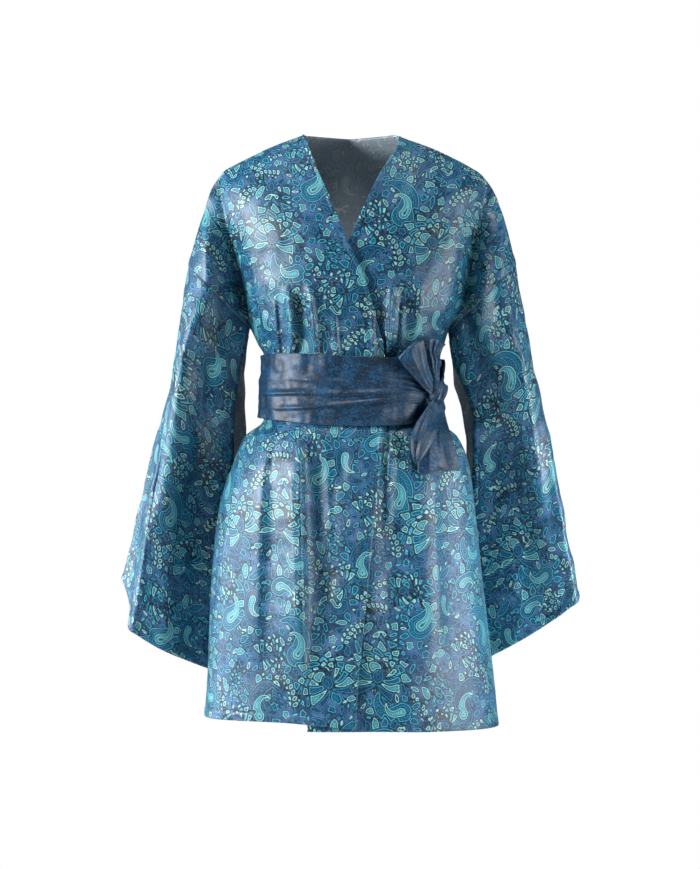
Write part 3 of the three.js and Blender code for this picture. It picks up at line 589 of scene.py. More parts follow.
# %% Back
def back_panel(cols, pitch):
    rows = even_rows((lambda row: row * 0, BACK_CENTRE.z), outer_curves("left"), pitch)
    halves = []
    for side in ("right", "left"):
        out_x, out_z = outer_edge(side, rows)
        x = out_x[:, None] * np.sin(even_turn(cols // 2, np.zeros(len(rows))))
        x[:, -1] = out_x
        shoulder = getattr(SHOULDER, side)(np.abs(x))
        neck = mix(NECK_BACK, NECK_TOP, (np.abs(x) / NECK_HALF) ** 4)
        top = np.where(np.abs(x) < NECK_HALF, neck, shoulder)
        end_x, end_z = outer_edge(side, np.array([0.0]))
        first = mix(BACK_CENTRE.z(0), end_z, x / end_x)
        z = mix(BACK_CENTRE.z(rows)[:, None], out_z[:, None], x / out_x[:, None])
        rise = (top - first) * (1 - smooth(rows / 5))[:, None]
        rise[:, -1] = 0
        z = z + rise
        y = np.maximum(depth(x, z, "back"), LEAST_DEPTH)
        off_seam = (rows <= SEAM_TOP_ROW) | (rows >= UNDERARM_ROW)
        y[:, -1] = np.where(off_seam, 0, np.maximum(depth(x, z, "back")[:, -1], 0))
        y[0, np.abs(x[0]) >= NECK_HALF] = 0
        points = np.stack([x, y + SEAM_GAP / 2, z], -1)
        hole = HOLES[side]
        on_seam = (rows >= SEAM_TOP_ROW) & (rows <= UNDERARM_ROW)
        points[on_seam, -1] -= hole.plane * SEAM_GAP / 2
        points = spread_out(points, rows)
        u = cloth_run(points, 1) * (-1 if side == "right" else 1)
        halves.append((points, np.stack([u, drop_run(points)], -1)))
    # Seen from behind, the wearer's left is on the left.
    points = np.concatenate([halves[1][0][:, ::-1], halves[0][0][:, 1:]], 1)
    uv = np.concatenate([halves[1][1][:, ::-1], halves[0][1][:, 1:]], 1)
    normals = grid_normals(points)
    normals *= np.sign(normals[len(rows) // 2, cols // 2, 1])
    on_top = np.abs(points[0, :, 0]) >= NECK_HALF
    normals[0, on_top] = unit(normals[0, on_top] * np.array([1, 0, 1]))
    for end, near, side in ((0, 1, "left"), (-1, -2, "right")):
        hole = HOLES[side]
        squared(normals, (off_seam, end), Y_AXIS)
        for column in (end, near):
            squared(normals, (on_seam, column), hole.plane)
        normals[rows == UNDERARM_ROW, end] = hole.upward
    points = hemmed("back", points, normals)
    in_neck = np.abs(points[0, :, 0]) < NECK_HALF
    SEWN["back"].append(points[3, in_neck] + normals[3, in_neck] * HEM_RISE / 2)
    return points, normals, uv


# %% [markdown]
# ## Sleeves
#
# Each sleeve is one length of cloth folded along its outer side. Below the underarm its two
# inner edges hang apart, as on a real kimono, and at the cuff the fold opens into two ridges.
# Four guiding lines carry that shape: both free edges and both ridges.

# %% Sleeve tables: x outwards from the centre, y backwards, z up
SLEEVE_COLUMNS = ("t fi_x fi_y fi_z fr_x fr_y fr_z br_x br_y br_z bi_x bi_y bi_z front back")
SLEEVES = {
    "right": curves(SLEEVE_COLUMNS, [
        (0, 151.5, 0, -283.5, 243.8, 0, -190.5, 243.8, 0, -190.5, 151.5, 0, -283.5, 48, 46),
        (0.1, 157, -9, -316, 251, -9, -240, 252, 8, -238, 156, 12, -316, 44, 44),
        (0.2, 164, -13, -352, 257, -14, -290, 260, 15, -286, 161, 28, -352, 39, 40),
        (0.35, 174, -8, -414, 271, -15, -378, 275, 26, -372, 161, 56, -414, 32, 36),
        (0.5, 177, 25, -485, 286, -12, -460, 297, 38, -452, 163, 80, -482, 22, 30),
        (0.7, 190, 49, -600, 305, -5, -556, 320, 54, -540, 180, 94, -590, 20, 26),
        (0.85, 197, 55, -700, 318, 4, -640, 337, 66, -606, 188, 100, -680, 19, 23),
        (1, 203, 60, -806, 334.5, 14, -730.5, 353, 76, -664.5, 196, 104, -776, 18, 22),
    ]),
    "left": curves(SLEEVE_COLUMNS, [
        (0, 145.5, 0, -289.5, 247.5, 0, -190, 247.5, 0, -190, 145.5, 0, -289.5, 48, 46),
        (0.1, 151, -10, -332, 255, -9, -238, 256, 8, -236, 150, 12, -332, 45, 44),
        (0.2, 166, -16, -364, 264, -14, -296, 266, 15, -292, 157, 30, -366, 39, 40),
        (0.35, 181, -9, -424, 280, -15, -376, 282, 26, -370, 174, 58, -424, 30, 36),
        (0.5, 183, 22, -496, 298, -11, -452, 300, 38, -444, 178, 82, -492, 22, 30),
        (0.7, 176, 50, -600, 319, -2, -566, 321, 54, -556, 170, 96, -596, 20, 26),
        (0.85, 187, 57, -690, 333, 6, -632, 334, 62, -620, 181, 101, -680, 19, 23),
        (1, 199, 62, -790, 344, 14, -686, 343, 66, -676, 192, 105, -772, 18, 22),
    ]),
}
SIDE_FROM, SIDE_TO = 0.4, 0.6
SIDE_DENT, CUFF_SAG, SEAM_BLEND = 7, 9, 0.28
# Folds of the sleeves: place round the section and along it at each end, half width, height.
SLEEVE_FOLDS = {
    "right": [
        (0.26, 0.10, 0.20, 0.62, 0.030, 3.5), (0.13, 0.16, 0.11, 0.70, 0.028, -3.5),
        (0.33, 0.35, 0.30, 0.96, 0.026, -3.0), (0.20, 0.55, 0.17, 1.10, 0.030, 3.0),
        (0.70, 0.15, 0.74, 0.80, 0.030, 3.5), (0.84, 0.30, 0.86, 1.10, 0.030, -3.5),
        (0.36, 0.05, 0.22, 0.22, 0.020, 2.0), (0.30, 0.16, 0.14, 0.30, 0.020, -1.8),
        (0.11, -0.10, 0.10, 0.95, 0.070, -13.0), (0.27, -0.05, 0.24, 0.80, 0.045, 7.0),
        (0.05, 0.55, 0.10, 1.20, 0.035, -6.0), (0.31, 0.60, 0.33, 1.25, 0.030, 4.0),
    ],
    "left": [
        (0.24, 0.08, 0.22, 0.60, 0.032, 3.5), (0.14, 0.18, 0.13, 0.74, 0.028, -3.0),
        (0.32, 0.40, 0.31, 1.10, 0.028, 3.0), (0.20, 0.60, 0.19, 1.10, 0.028, -3.0),
        (0.70, 0.12, 0.72, 0.80, 0.030, 3.5), (0.84, 0.30, 0.85, 1.10, 0.030, -3.5),
        (0.34, 0.06, 0.24, 0.20, 0.020, 2.0), (0.30, 0.15, 0.16, 0.28, 0.020, -1.8),
        (0.09, -0.10, 0.07, 0.90, 0.055, -11.0), (0.25, -0.05, 0.22, 0.80, 0.050, 6.0),
        (0.16, 0.50, 0.14, 1.20, 0.035, -5.0), (0.33, 0.55, 0.32, 1.25, 0.030, 4.0),
    ],
}


# %% The armhole's own form, and the sleeve that grows out of it
def seam_line(hole, w):
    near_top = 0.94
    v = np.where(w <= 0.5, w, 1 - w)
    s = np.where(v < SIDE_FROM, v / SIDE_FROM * near_top,
                 mix(near_top, 1, (v - SIDE_FROM) / (0.5 - SIDE_FROM)))
    p = hole.b + (hole.a - hole.b) * s[:, None]
    front = depth(p[:, 0], p[:, 2], "front")
    back = depth(p[:, 0], p[:, 2], "back")
    y = np.maximum(np.where(w <= 0.5, front, back), 0.5) * ((s > 0) & (s < 1))
    p[:, 1] = np.where(w <= 0.5, -1, 1) * (y + SEAM_GAP / 2)
    p[:, 1] = np.where(w == 0.5, 0, p[:, 1])
    return p


def sleeve(side, rows, cols):
    at, hole = SLEEVES[side], HOLES[side]
    sign = -1 if side == "right" else 1
    t, w = np.linspace(0, 1, rows + 1), np.linspace(0, 1, cols + 1)
    # Front edge, front ridge, back ridge and back edge.
    fi, fr, br, bi = (np.stack([sign * getattr(at, key + "_x")(t), getattr(at, key + "_y")(t),
                                getattr(at, key + "_z")(t)], -1)[:, None]
                      for key in ("fi", "fr", "br", "bi"))
    v = np.where(w <= 0.5, w, 1 - w)[None, :, None]
    s = np.clip(v / SIDE_FROM, 0, 1)
    reach = np.sin(s * math.pi / 2)
    belly = np.sin(math.pi * s ** 0.8)
    hang = CUFF_SAG * t[:, None] * np.sin(math.pi * s[..., 0])
    front = fi + (fr - fi) * reach
    front[..., 1] -= at.front(t)[:, None] * belly[..., 0]
    back = bi + (br - bi) * reach
    back[..., 1] += at.back(t)[:, None] * belly[..., 0]
    front[..., 2] -= hang
    back[..., 2] -= hang
    turn = np.clip((w - SIDE_FROM) / (SIDE_TO - SIDE_FROM), 0, 1)[None, :, None]
    outer = fr + (br - fr) * turn
    outer[..., 0] -= sign * SIDE_DENT * t[:, None] * np.sin(math.pi * turn[..., 0])
    where = w[None, :, None]
    points = np.where(where <= SIDE_FROM, front, np.where(where < SIDE_TO, outer, back))
    seam = seam_line(hole, w)
    keep = (1 - smooth(t / SEAM_BLEND))[:, None, None] * 0.999
    shift = ((fr - hole.a) + (fi - hole.b)) / 2
    points = mix(points, seam[None] + shift, keep)
    points[0] = seam + hole.plane * SEAM_GAP / 2
    points[0, 0, 1], points[0, -1, 1] = -SEAM_GAP / 2, SEAM_GAP / 2
    if side == "right":
        points = points[:, ::-1]
        w = w[::-1]
    normals = grid_normals(points)
    if normals[rows // 2, cols // 4, 1] * (w[cols // 4] - 0.5) < 0:
        normals = -normals
    relief = fold_relief(SLEEVE_FOLDS[side], w[None, :], t[:, None])
    along = cloth_run(points, 0, keep=(0, 1, 2))
    around = cloth_run(points, 1, keep=(0, 1, 2))
    around = around - around[:, cols // 2][:, None]
    relief = relief + ripple(around, along, 31 if side == "right" else 32, 80, 1.2)
    relief = relief + ripple(around, along, 37, 30, 0.3)
    points = points + normals * (relief * smooth(t / 0.12)[:, None])[..., None]
    folded = grid_normals(points)
    normals = folded * np.sign((folded * normals).sum(-1, keepdims=True))
    squared(normals, 0, hole.plane)
    for j in (0, -1):
        normals[0, j] = -hole.upward
    points = hemmed("sleeve_" + side, points, normals, first=True, last=True, start=8)
    uv = np.stack([around, -along - SLEEVE_PRINT_TOP], -1)
    return points, normals, uv


# %% [markdown]
# ## Sash and bow
#
# The sash is one wide band folded lengthwise. Its folds run round the waist, lean over one
# another and gather towards the knot. The bow is made of flat ends that keep the stiffness of
# folded cloth: one loop, a short crumpled end above, and two longer ends below.

# %% Sash tables
SASH = curves("turn top bottom", [
    (52, -360, -408), (46, -346, -421), (33, -332, -429), (0, -329, -431), (-50, -324, -423),
    (-90, -325.5, -418), (-180, -326, -418), (-262, -330, -417), (-278, -348, -408),
    (-289, -368, -397),
])
SASH_ENDS = (52, -289)
SASH_TOP_FRONT, SASH_BOTTOM_FRONT = -329, -431
SASH_CREASE, SASH_BELLY, SASH_HUG, SASH_EASE = 3, 2, 9, 1.0
SASH_TURN_RUN = 2.2  # about how many millimetres one degree of the turn takes up
# Folds that lean over: share of the height at the side and at the knot, half width, height,
# how much steeper the lower side falls, and the turn at which the fold sets in.
SASH_FOLDS = [
    (0.04, 0.27, 0.046, 2.2, 2.2, -30), (0.20, 0.36, 0.050, 3.4, 2.8, -5),
    (0.36, 0.43, 0.054, 3.8, 3.0, -50), (0.61, 0.485, 0.056, 5.8, 3.4, -84),
    (0.70, 0.53, 0.038, 3.6, 3.0, -20), (0.82, 0.575, 0.048, 5.6, 3.4, -70),
    (0.95, 0.64, 0.046, 3.4, 2.8, -24),
]
SASH_SHELF, SASH_SHELF_FROM = 3.4, 0.28
BOW_COLUMNS = "v a_x a_z b_x b_z off cup"
BOW_LOBE = curves(BOW_COLUMNS, [
    (0, 117, -385, 120, -374, 8, 0.5), (0.14, 111, -380, 118, -367, 8, 3),
    (0.3, 99, -367, 114, -355, 9, 5), (0.65, 82, -349, 109, -329, 12, 8),
    (1, 69, -333, 105, -304, 12, 8),
])
LOBE_INSET = 9
TAIL_UPPER = curves(BOW_COLUMNS, [
    (0, 124, -372, 130, -371, 9, 0.5), (0.2, 120, -358, 129, -358, 7, 3),
    (0.4, 115, -344, 129.5, -347, 5, 5), (0.6, 112, -331, 132.5, -337, 5, 5),
    (0.8, 110.5, -318, 127.5, -325, 5, 4), (1, 110, -304, 139, -310, 5, 4),
])
TAIL_LOWER_LEFT = curves(BOW_COLUMNS, [
    (0, 121, -390, 126, -390, 10, 0.5), (0.2, 106, -410, 128.5, -412, 11, 4),
    (0.4, 92, -431, 128.5, -431, 12, 6), (0.6, 86, -451, 121, -449, 12, 6),
    (0.8, 87, -470, 110, -468, 11, 4), (1, 93, -487, 95.5, -487.5, 10, 0.5),
])
TAIL_LOWER_RIGHT = curves(BOW_COLUMNS, [
    (0, 125, -390, 132, -389, 7, 0.5), (0.18, 119, -412, 138, -408, 4.5, 2),
    (0.4, 106, -436, 143, -430, 4, 2.5), (0.65, 97, -466, 151, -456, 4, 2.5),
    (0.88, 97, -493, 158.5, -484, 4, 2.5), (1, 104, -503, 160, -497, 4, 2),
])
# Creases of each end: share across at the knot and at the tip, half width, height.
BOW_CREASES = {
    "bow_lobe_upper": [(0.4, 0.42, 0.12, 2.4), (0.62, 0.80, 0.07, -2.0), (0.2, 0.12, 0.06, -1.0)],
    "tail_upper": [(0.40, 0.18, 0.08, 2.4), (0.55, 0.42, 0.06, -2.4), (0.65, 0.62, 0.07, 2.6),
                   (0.80, 0.84, 0.05, -1.8)],
    "tail_lower_left": [(0.5, 0.5, 0.09, 3.4), (0.68, 0.72, 0.07, -1.4), (0.3, 0.28, 0.07, -1.2)],
    "tail_lower_right": [(0.5, 0.22, 0.06, 1.6), (0.6, 0.50, 0.06, -1.4), (0.55, 0.72, 0.07, 1.6),
                         (0.7, 0.90, 0.04, -1.0)],
}
KNOT_X, KNOT_Z, KNOT_OFF = 127, -381, 9
KNOT_TALL, KNOT_DEEP, KNOT_WIDE, KNOT_WALL = 15, 9.5, 13.5, 2.0
KNOT_TURN, KNOT_LEAN, KNOT_BULGE = 0.6, 0.35, 0.18
KNOT_ROLL, KNOT_PRINT_ROUND = 0.965, 14
KNOT_LUMPS = [(0.9, 2, 0.6, 0.075), (2.2, 3, 2.0, 0.055), (4.5, 1, 0.3, 0.05), (1.6, 5, 1.1, 0.03)]


# %% Sash
def sash_wrap(rows, cols):
    turn = np.linspace(SASH_ENDS[1], SASH_ENDS[0], cols + 1)[None, :]
    share = np.linspace(0, 1, rows + 1)[:, None]
    z = mix(SASH.top(turn), SASH.bottom(turn), share)
    s, c = np.sin(np.radians(turn)), np.cos(np.radians(turn))
    out = SASH_BELLY * np.sin(math.pi * share) + SASH_EASE
    shelf = SASH_SHELF * smooth((share - SASH_SHELF_FROM) / 0.12)
    out = out + shelf * np.exp(-(((turn + 90) / 42) ** 2))
    toward_knot = smooth((turn + 64) / 122)
    for k, (at_side, at_knot, wide, high, steeper, sets_in) in enumerate(SASH_FOLDS):
        # No fold runs quite straight or equally deep all the way.
        sway = 0.014 * np.sin(turn / 17 + 2.1 * k) * (1 - toward_knot)
        swell = 0.8 + 0.2 * np.sin(turn / 19 + 1.7 * k)
        centre = mix(at_side, at_knot, toward_knot) + sway
        grown = smooth((turn - sets_in) / 46) * swell
        out = out + high * grown * leaning(share - centre, wide, steeper)
    # Round the back the folds have opened to a few shallow ones.
    out = out + 1.4 * (1 + np.sin(share * math.pi * 5)) * smooth((-100 - turn) / 30)
    place = (turn * SASH_TURN_RUN, share * 100)
    crumple = ripple(*place, 51, 40, 0.8) + ripple(*place, 52, 15, 0.28)
    out = np.maximum(out + crumple, 0)
    x = s * (side_of(s, TRUNK.right(z), TRUNK.left(z)) + SASH_OUT_SIDE + out)
    face = np.where(c > 0, TRUNK.front(z), TRUNK.back(z))
    y = (face + SASH_OUT + out) * half_oval(s, BODY_ROUND) * np.where(c > 0, -1, 1)
    points = np.stack([x, y, z], -1)
    normals = grid_normals(points)
    outward = points * np.array([1, 1, 0])
    normals *= np.sign((normals * outward).sum(-1, keepdims=True))
    u = cloth_run(points, 1)
    return points, normals, np.stack([u - u[:, -1:], z + 0 * turn], -1)


# %% Bow
def dressed_depth(x, z):
    """How far forward the dressed front stands round a place: cloth, and sash over it."""
    deepest = np.zeros(np.broadcast(x, z).shape)
    for down in (-SASH_HUG, 0, SASH_HUG):
        level, inward = z + down, np.maximum(0, x - SASH_HUG)
        for beside in (0, SASH_HUG):
            deepest = np.maximum(deepest, depth(inward + beside, level, "front") + LAP)
        share = np.minimum(1, inward / (TRUNK.left(level) + SASH_OUT_SIDE))
        sash = (TRUNK.front(level) + SASH_OUT + SASH_CREASE) * half_oval(share, BODY_ROUND)
        on_sash = (level < SASH_TOP_FRONT) & (level > SASH_BOTTOM_FRONT)
        deepest = np.maximum(deepest, np.where(on_sash, sash + SASH_BELLY, 0))
    return deepest


def eased(grid, rounds):
    """Evens a grid of depths, as stiff folded cloth bridges a step."""
    for _ in range(rounds):
        wide = np.pad(grid, 1, mode="edge")
        grid = (wide[:-2, 1:-1] + wide[2:, 1:-1] + wide[1:-1, :-2] + wide[1:-1, 2:] + grid) / 5
    return grid


def bow_piece(name, at, rows, cols, doubled=False):
    run = np.linspace(0, 2 if doubled else 1, rows + 1)[:, None]
    v, turned = np.where(run <= 1, run, 2 - run), run > 1
    u = np.linspace(0, 1, cols + 1)[None, :]
    x = mix(at.a_x(v), at.b_x(v), u)
    z = mix(at.a_z(v), at.b_z(v), u) + (v > 0.8) * 4 * np.sin(math.pi * u) * smooth((v - 0.8) / 0.2)
    inset = LOBE_INSET * smooth((1 - v) / 0.3) * turned if doubled else 0
    cup = at.cup(v) * np.sin(math.pi * u) * np.where(turned, -0.2, 1)
    crease = 0
    for at_knot, at_tip, wide, high in BOW_CREASES[name]:
        middle = mix(at_knot, at_tip, v)
        crease = crease + high * np.exp(-(((u - middle) / wide) ** 2))
    crease = crease * np.sin(math.pi * u) * smooth(v / 0.15) * smooth((1 - v) / 0.1 + 0.2)
    crease = crease * np.where(turned, 0.2, 1) + 0.25 * ripple(x, z, 61, 22, 1)
    y = -eased(dressed_depth(x, z), 30) - at.off(v) - cup - crease + inset
    points = np.stack([x, y, z], -1)
    normals = unit(np.cross(np.gradient(points, axis=0), np.gradient(points, axis=1)))
    along = cloth_run(points, 0, keep=(0, 1, 2))
    return points, normals, np.stack([x + 0 * v, -along], -1)


# %% Knot
def knot_band(rows, sides):
    centre_y = -dressed_depth(np.array(KNOT_X), np.array(KNOT_Z)) - KNOT_OFF
    share = np.linspace(-1, 1, rows + 1)[:, None]
    angle = (2 * math.pi * np.arange(sides) / sides)[None, :]
    # The two ends roll inwards, round the roots of the loop and the ends.
    grow = (1 + KNOT_BULGE) * np.sqrt(1 - (KNOT_ROLL * share) ** 4)
    pleat = 1
    for along, around, phase, high in KNOT_LUMPS:
        pleat = pleat + high * np.sin(along * math.pi * share + around * angle + phase)
    local = np.stack(np.broadcast_arrays(
        KNOT_WIDE * share * np.ones_like(angle), KNOT_DEEP * grow * pleat * np.cos(angle),
        KNOT_TALL * grow * pleat * np.sin(angle)), -1)
    # The knot leans about Y, then turns about Z with the waist.
    cl, sl = math.cos(KNOT_LEAN), math.sin(KNOT_LEAN)
    ct, st = math.cos(KNOT_TURN), math.sin(KNOT_TURN)
    lean = np.array([[cl, 0, sl], [0, 1, 0], [-sl, 0, cl]])
    turn = np.array([[ct, -st, 0], [st, ct, 0], [0, 0, 1]])
    outward = local * np.array([0, 1, 1]) @ (turn @ lean).T
    points = local @ (turn @ lean).T + np.array([KNOT_X, float(centre_y), KNOT_Z])
    normals = grid_normals(points, ringed=True)
    normals *= np.sign((normals * outward).sum(-1, keepdims=True))
    along = np.broadcast_to(share * KNOT_WIDE, points.shape[:2])
    around = np.broadcast_to(angle * KNOT_PRINT_ROUND, points.shape[:2])
    return points, normals, np.stack([along, around], -1)


# %% [markdown]
# ## Making the pieces
#
# The printed pieces get a point every two to three millimetres, because their print rides on
# the points. Fewer would blur it, and many more would only make the file heavy.

# %% Make every piece of cloth
FINE = 1
PIECES, CLOTH_UV, FLAT_AREA = {}, {}, {}


def add(name, made, thick, step=INNER_STEP, ringed=False):
    points, normals, uv = made
    made = wall(name + "_cloth", points, normals, thick, uv, ringed, step)
    PIECES[name], CLOTH_UV[name] = made
    FLAT_AREA[name] = cloth_area(points)


add("back", back_panel(216 // FINE, 2.62 * FINE), CLOTH)
add("front_right", front_panel("front_right", "right", 160 // FINE, 2.16 * FINE), CLOTH)
add("front_left", front_panel("front_left", "left", 160 // FINE, 2.16 * FINE), CLOTH)
add("sleeve_right", sleeve("right", 256 // FINE, 200 // FINE), CLOTH)
add("sleeve_left", sleeve("left", 256 // FINE, 200 // FINE), CLOTH)
add("sash_wrap", sash_wrap(76 // FINE, 400 // FINE), SASH_CLOTH)
add("sash_knot", knot_band(48, 96), KNOT_WALL, ringed=True)
add("bow_lobe_upper", bow_piece("bow_lobe_upper", BOW_LOBE, 96, 40, doubled=True), SASH_CLOTH, 1)
add("tail_upper", bow_piece("tail_upper", TAIL_UPPER, 48, 40), SASH_CLOTH, 1)
add("tail_lower_left", bow_piece("tail_lower_left", TAIL_LOWER_LEFT, 72, 40), SASH_CLOTH, 1)
add("tail_lower_right", bow_piece("tail_lower_right", TAIL_LOWER_RIGHT, 80, 48), SASH_CLOTH, 1)
PRINTED = ["back", "front_right", "front_left", "sleeve_right", "sleeve_left"]

# %% [markdown]
# ## Camera and light
#
# The camera stands straight in front, a little over three metres away, as for a catalogue. The
# main lamp, at the wearer's right, models the folds. Two at the sides and one above fill the
# shadows, two narrow ones lift the low ends of the sleeves, and the white room adds a little.

# %% Camera
CAMERA_DISTANCE = 3.2
VIEW_CENTRE = Vector((-0.0015, 0, -0.44325))
VIEW_HEIGHT = 1.3035
SENSOR = 24
scene = bpy.context.scene
lens = bpy.data.cameras.new("camera")
lens.sensor_fit, lens.sensor_height = "VERTICAL", SENSOR
lens.lens = SENSOR * CAMERA_DISTANCE / VIEW_HEIGHT
camera = bpy.data.objects.new("camera", lens)
camera.location = VIEW_CENTRE - Vector((0, CAMERA_DISTANCE, 0))
camera.rotation_euler = (math.pi / 2, 0, 0)
scene.collection.objects.link(camera)
scene.camera = camera


# %% Floor, room and lights
FLOOR_LEVEL, FLOOR_RADIUS, FLOOR_SIDES = -1.35, 1.15, 96


def soft_light(name, place, target, size, watts, spread=180):
    lamp = bpy.data.lights.new(name, "AREA")
    lamp.shape, lamp.size, lamp.energy = "DISK", size, watts
    lamp.spread = math.radians(spread)
    light = bpy.data.objects.new(name, lamp)
    light.location = place
    light.rotation_euler = (Vector(target) - Vector(place)).to_track_quat("-Z", "Y").to_euler()
    scene.collection.objects.link(light)


soft_light("key", (-2.65, -1.15, 0.2), (0, 0, -0.5), 1.3, 128)
soft_light("side_right", (2.45, -0.75, -0.5), (0.2, 0, -0.65), 1.9, 58)
soft_light("side_left", (-2.6, 0.6, -0.4), (-0.2, 0, -0.6), 1.6, 42)
soft_light("top", (0.0, -0.6, 1.8), (0, 0, -0.1), 1.0, 27)
soft_light("low_right", (2.0, -1.5, -1.0), (0.36, 0, -0.66), 0.5, 0.75, spread=14)
soft_light("low_left", (-2.0, -1.3, -1.0), (-0.38, 0, -0.72), 0.5, 0.18, spread=12)

ROOM_SHOWN, ROOM_LIGHT = 1.0, 0.08
room = bpy.data.worlds.new("room")
room.use_nodes = True
room_nodes, room_links = room.node_tree.nodes, room.node_tree.links
lit = room_nodes["Background"]
shown = room_nodes.new("ShaderNodeBackground")
for background, strength in ((lit, ROOM_LIGHT), (shown, ROOM_SHOWN)):
    background.inputs["Color"].default_value = (1, 1, 1, 1)
    background.inputs["Strength"].default_value = strength
path, choice = room_nodes.new("ShaderNodeLightPath"), room_nodes.new("ShaderNodeMixShader")
room_links.new(path.outputs["Is Camera Ray"], choice.inputs[0])
room_links.new(lit.outputs[0], choice.inputs[1])
room_links.new(shown.outputs[0], choice.inputs[2])
room_links.new(choice.outputs[0], room_nodes["World Output"].inputs[0])
scene.world = room
scene.view_settings.view_transform = "Standard"

floor_mesh = bpy.data.meshes.new("floor")
floor = bpy.data.objects.new("floor", floor_mesh)
scene.collection.objects.link(floor)
turns = [2 * math.pi * k / FLOOR_SIDES for k in range(FLOOR_SIDES)]
floor_mesh.from_pydata([(FLOOR_RADIUS * math.cos(a), FLOOR_RADIUS * math.sin(a), FLOOR_LEVEL)
                        for a in turns], [], [list(range(FLOOR_SIDES))])
pale = bpy.data.materials.new("floor")
pale.use_nodes = True
pale.node_tree.nodes["Principled BSDF"].inputs["Base Color"].default_value = (0.86, 0.86, 0.86, 1)
floor_mesh.materials.append(pale)


# %% [markdown]
# ## The print
#
# A screen printer lays outlined shapes over one another on a plain ground. Here each shape is
# kept as a distance: how far a point lies inside its edge. A distance stays smooth between the
# points of a mesh, so the shader can draw crisp outlines, pale borders and fills from it, where
# a colour kept on each point would blur. The design is a free one of fanned blooms, rosettes,
# curled drops, scrolls, sprays and leaves. It repeats by a half drop: each column is the last
# one moved down by half its height, and nothing in it is mirrored. The last gaps are filled by
# the largest small shape that fits.

# %% The repeat of the print, in millimetres
REPEAT_WIDE, REPEAT_TALL = 118.0, 330.0
DROP = REPEAT_TALL / 2
CELL = 0.5
SHAPE_GAP = 0.9
REACH = 12.0
FAR_OUT = 20.0
TEAL, BLUE, PALE = 0.0, 0.34, 0.67


def blank_field():
    across = np.arange(0, REPEAT_WIDE + 2 * CELL, CELL)
    up = np.arange(0, REPEAT_TALL, CELL)
    a, b = np.meshgrid(across, up)
    return SimpleNamespace(a=a, b=b, d=np.full(a.shape, FAR_OUT), q=a * 0, hue=a * 0)


def lay(field, middle, radius, hue, measure):
    """Prints one shape over what is there, with a thin gap round it, in every repeat it meets."""
    reach = radius + REACH
    for column in (-1, 0, 1):
        for row in (-2, -1, 0, 1, 2):
            move = np.array([column * REPEAT_WIDE, row * REPEAT_TALL + column * DROP])
            low, high = (middle + move - reach) / CELL, (middle + move + reach) / CELL
            if (high < 0).any():
                continue
            (j0, i0), (j1, i1) = np.maximum(low, 0).astype(int), high.astype(int)
            part = (slice(i0, i1 + 1), slice(j0, j1 + 1))
            a, b = field.a[part] - move[0], field.b[part] - move[1]
            if a.size == 0:
                continue
            new, phase = measure(a, b)
            carved = np.maximum(field.d[part], SHAPE_GAP - new)
            field.q[part] = np.where(new < carved, phase, field.q[part])
            field.hue[part] = np.where(new < carved, hue, field.hue[part])
            field.d[part] = np.minimum(new, carved)


# %% Shapes: a stroke of changing width, and a bloom
def stroke(field, start, turn, curl, length, width, hue, steps=14, hatch=3.4):
    """`width` gives the half width for a share 0 to 1 of the way along."""
    share = np.linspace(0, 1, steps + 1)
    course = np.radians(turn + curl * share[:-1] ** 1.2)
    run = np.stack([np.cos(course), np.sin(course)], -1) * length / steps
    line = np.array(start, float) + np.concatenate([[[0, 0]], np.cumsum(run, 0)])
    radii = width(share)

    def measure(a, b):
        best, phase = np.full(a.shape, 1e9), np.zeros(a.shape)
        for k in range(steps):
            (ax, ay), (bx, by) = line[k], line[k + 1]
            dx, dy = bx - ax, by - ay
            h = np.clip(((a - ax) * dx + (b - ay) * dy) / (dx * dx + dy * dy), 0, 1)
            far = np.hypot(a - ax - h * dx, b - ay - h * dy)
            new = far - mix(radii[k], radii[k + 1], h)
            along = (k + h) * length / steps + far * 0.8
            phase = np.where(new < best, along / hatch, phase)
            best = np.minimum(new, best)
        return best, phase

    middle = line.mean(0)
    lay(field, middle, np.linalg.norm(line - middle, axis=1).max() + radii.max(), hue, measure)
    return line


def bloom(field, centre, size, petals, turn, hue, notch=0.36):
    """A round flower with pointed petals."""
    def measure(a, b):
        r, angle = np.hypot(a - centre[0], b - centre[1]), np.arctan2(b - centre[1], a - centre[0])
        angle = np.angle(np.exp(1j * (angle - math.radians(turn))))
        edge = size * (1 - notch * np.abs(np.sin(angle * petals / 2)) ** 0.85)
        return (r - edge) * 0.85, np.abs(angle) * petals * 3 / (2 * math.pi)

    lay(field, np.array(centre, float), size, hue, measure)


def leaf_width(wide):
    return lambda s: wide * np.sin(math.pi * np.clip(s, 0.02, 0.98) ** 0.75) + 0.3


def drop_width(wide):
    return lambda s: wide * (1 - s) ** 0.8 + 0.9


def stem_width(wide):
    return lambda s: wide * (0.55 + 0.45 * np.sin(math.pi * np.clip(s * 0.9 + 0.1, 0, 1)))


def heading(line, k):
    dx, dy = line[min(k + 1, len(line) - 1)] - line[max(k - 1, 0)]
    return math.degrees(math.atan2(dy, dx))


# %% Motifs
def peony(field, a, b, size, turn, hue):
    """A bloom seen from its side: rows of pointed petals that open like a fan."""
    other = TEAL if hue == PALE else PALE
    fans = ((1.0, 11, 280, BLUE), (0.92, 9, 240, hue), (0.72, 8, 200, other),
            (0.54, 6, 150, hue), (0.34, 5, 100, hue))
    for share, count, spread, colour in fans:
        for k in range(count):
            lean = spread * (k / (count - 1) - 0.5)
            length = size * share * (1 - 0.16 * abs(math.sin(2.3 * k + share)))
            stroke(field, (a, b), turn + lean, 16 * math.copysign(1, lean), length,
                   leaf_width(size * (0.21 if share > 0.6 else 0.14)), colour, 8, 2.2)
    stroke(field, (a, b), turn + 180, 0, size * 0.3, leaf_width(size * 0.14), BLUE, 6, 2.2)


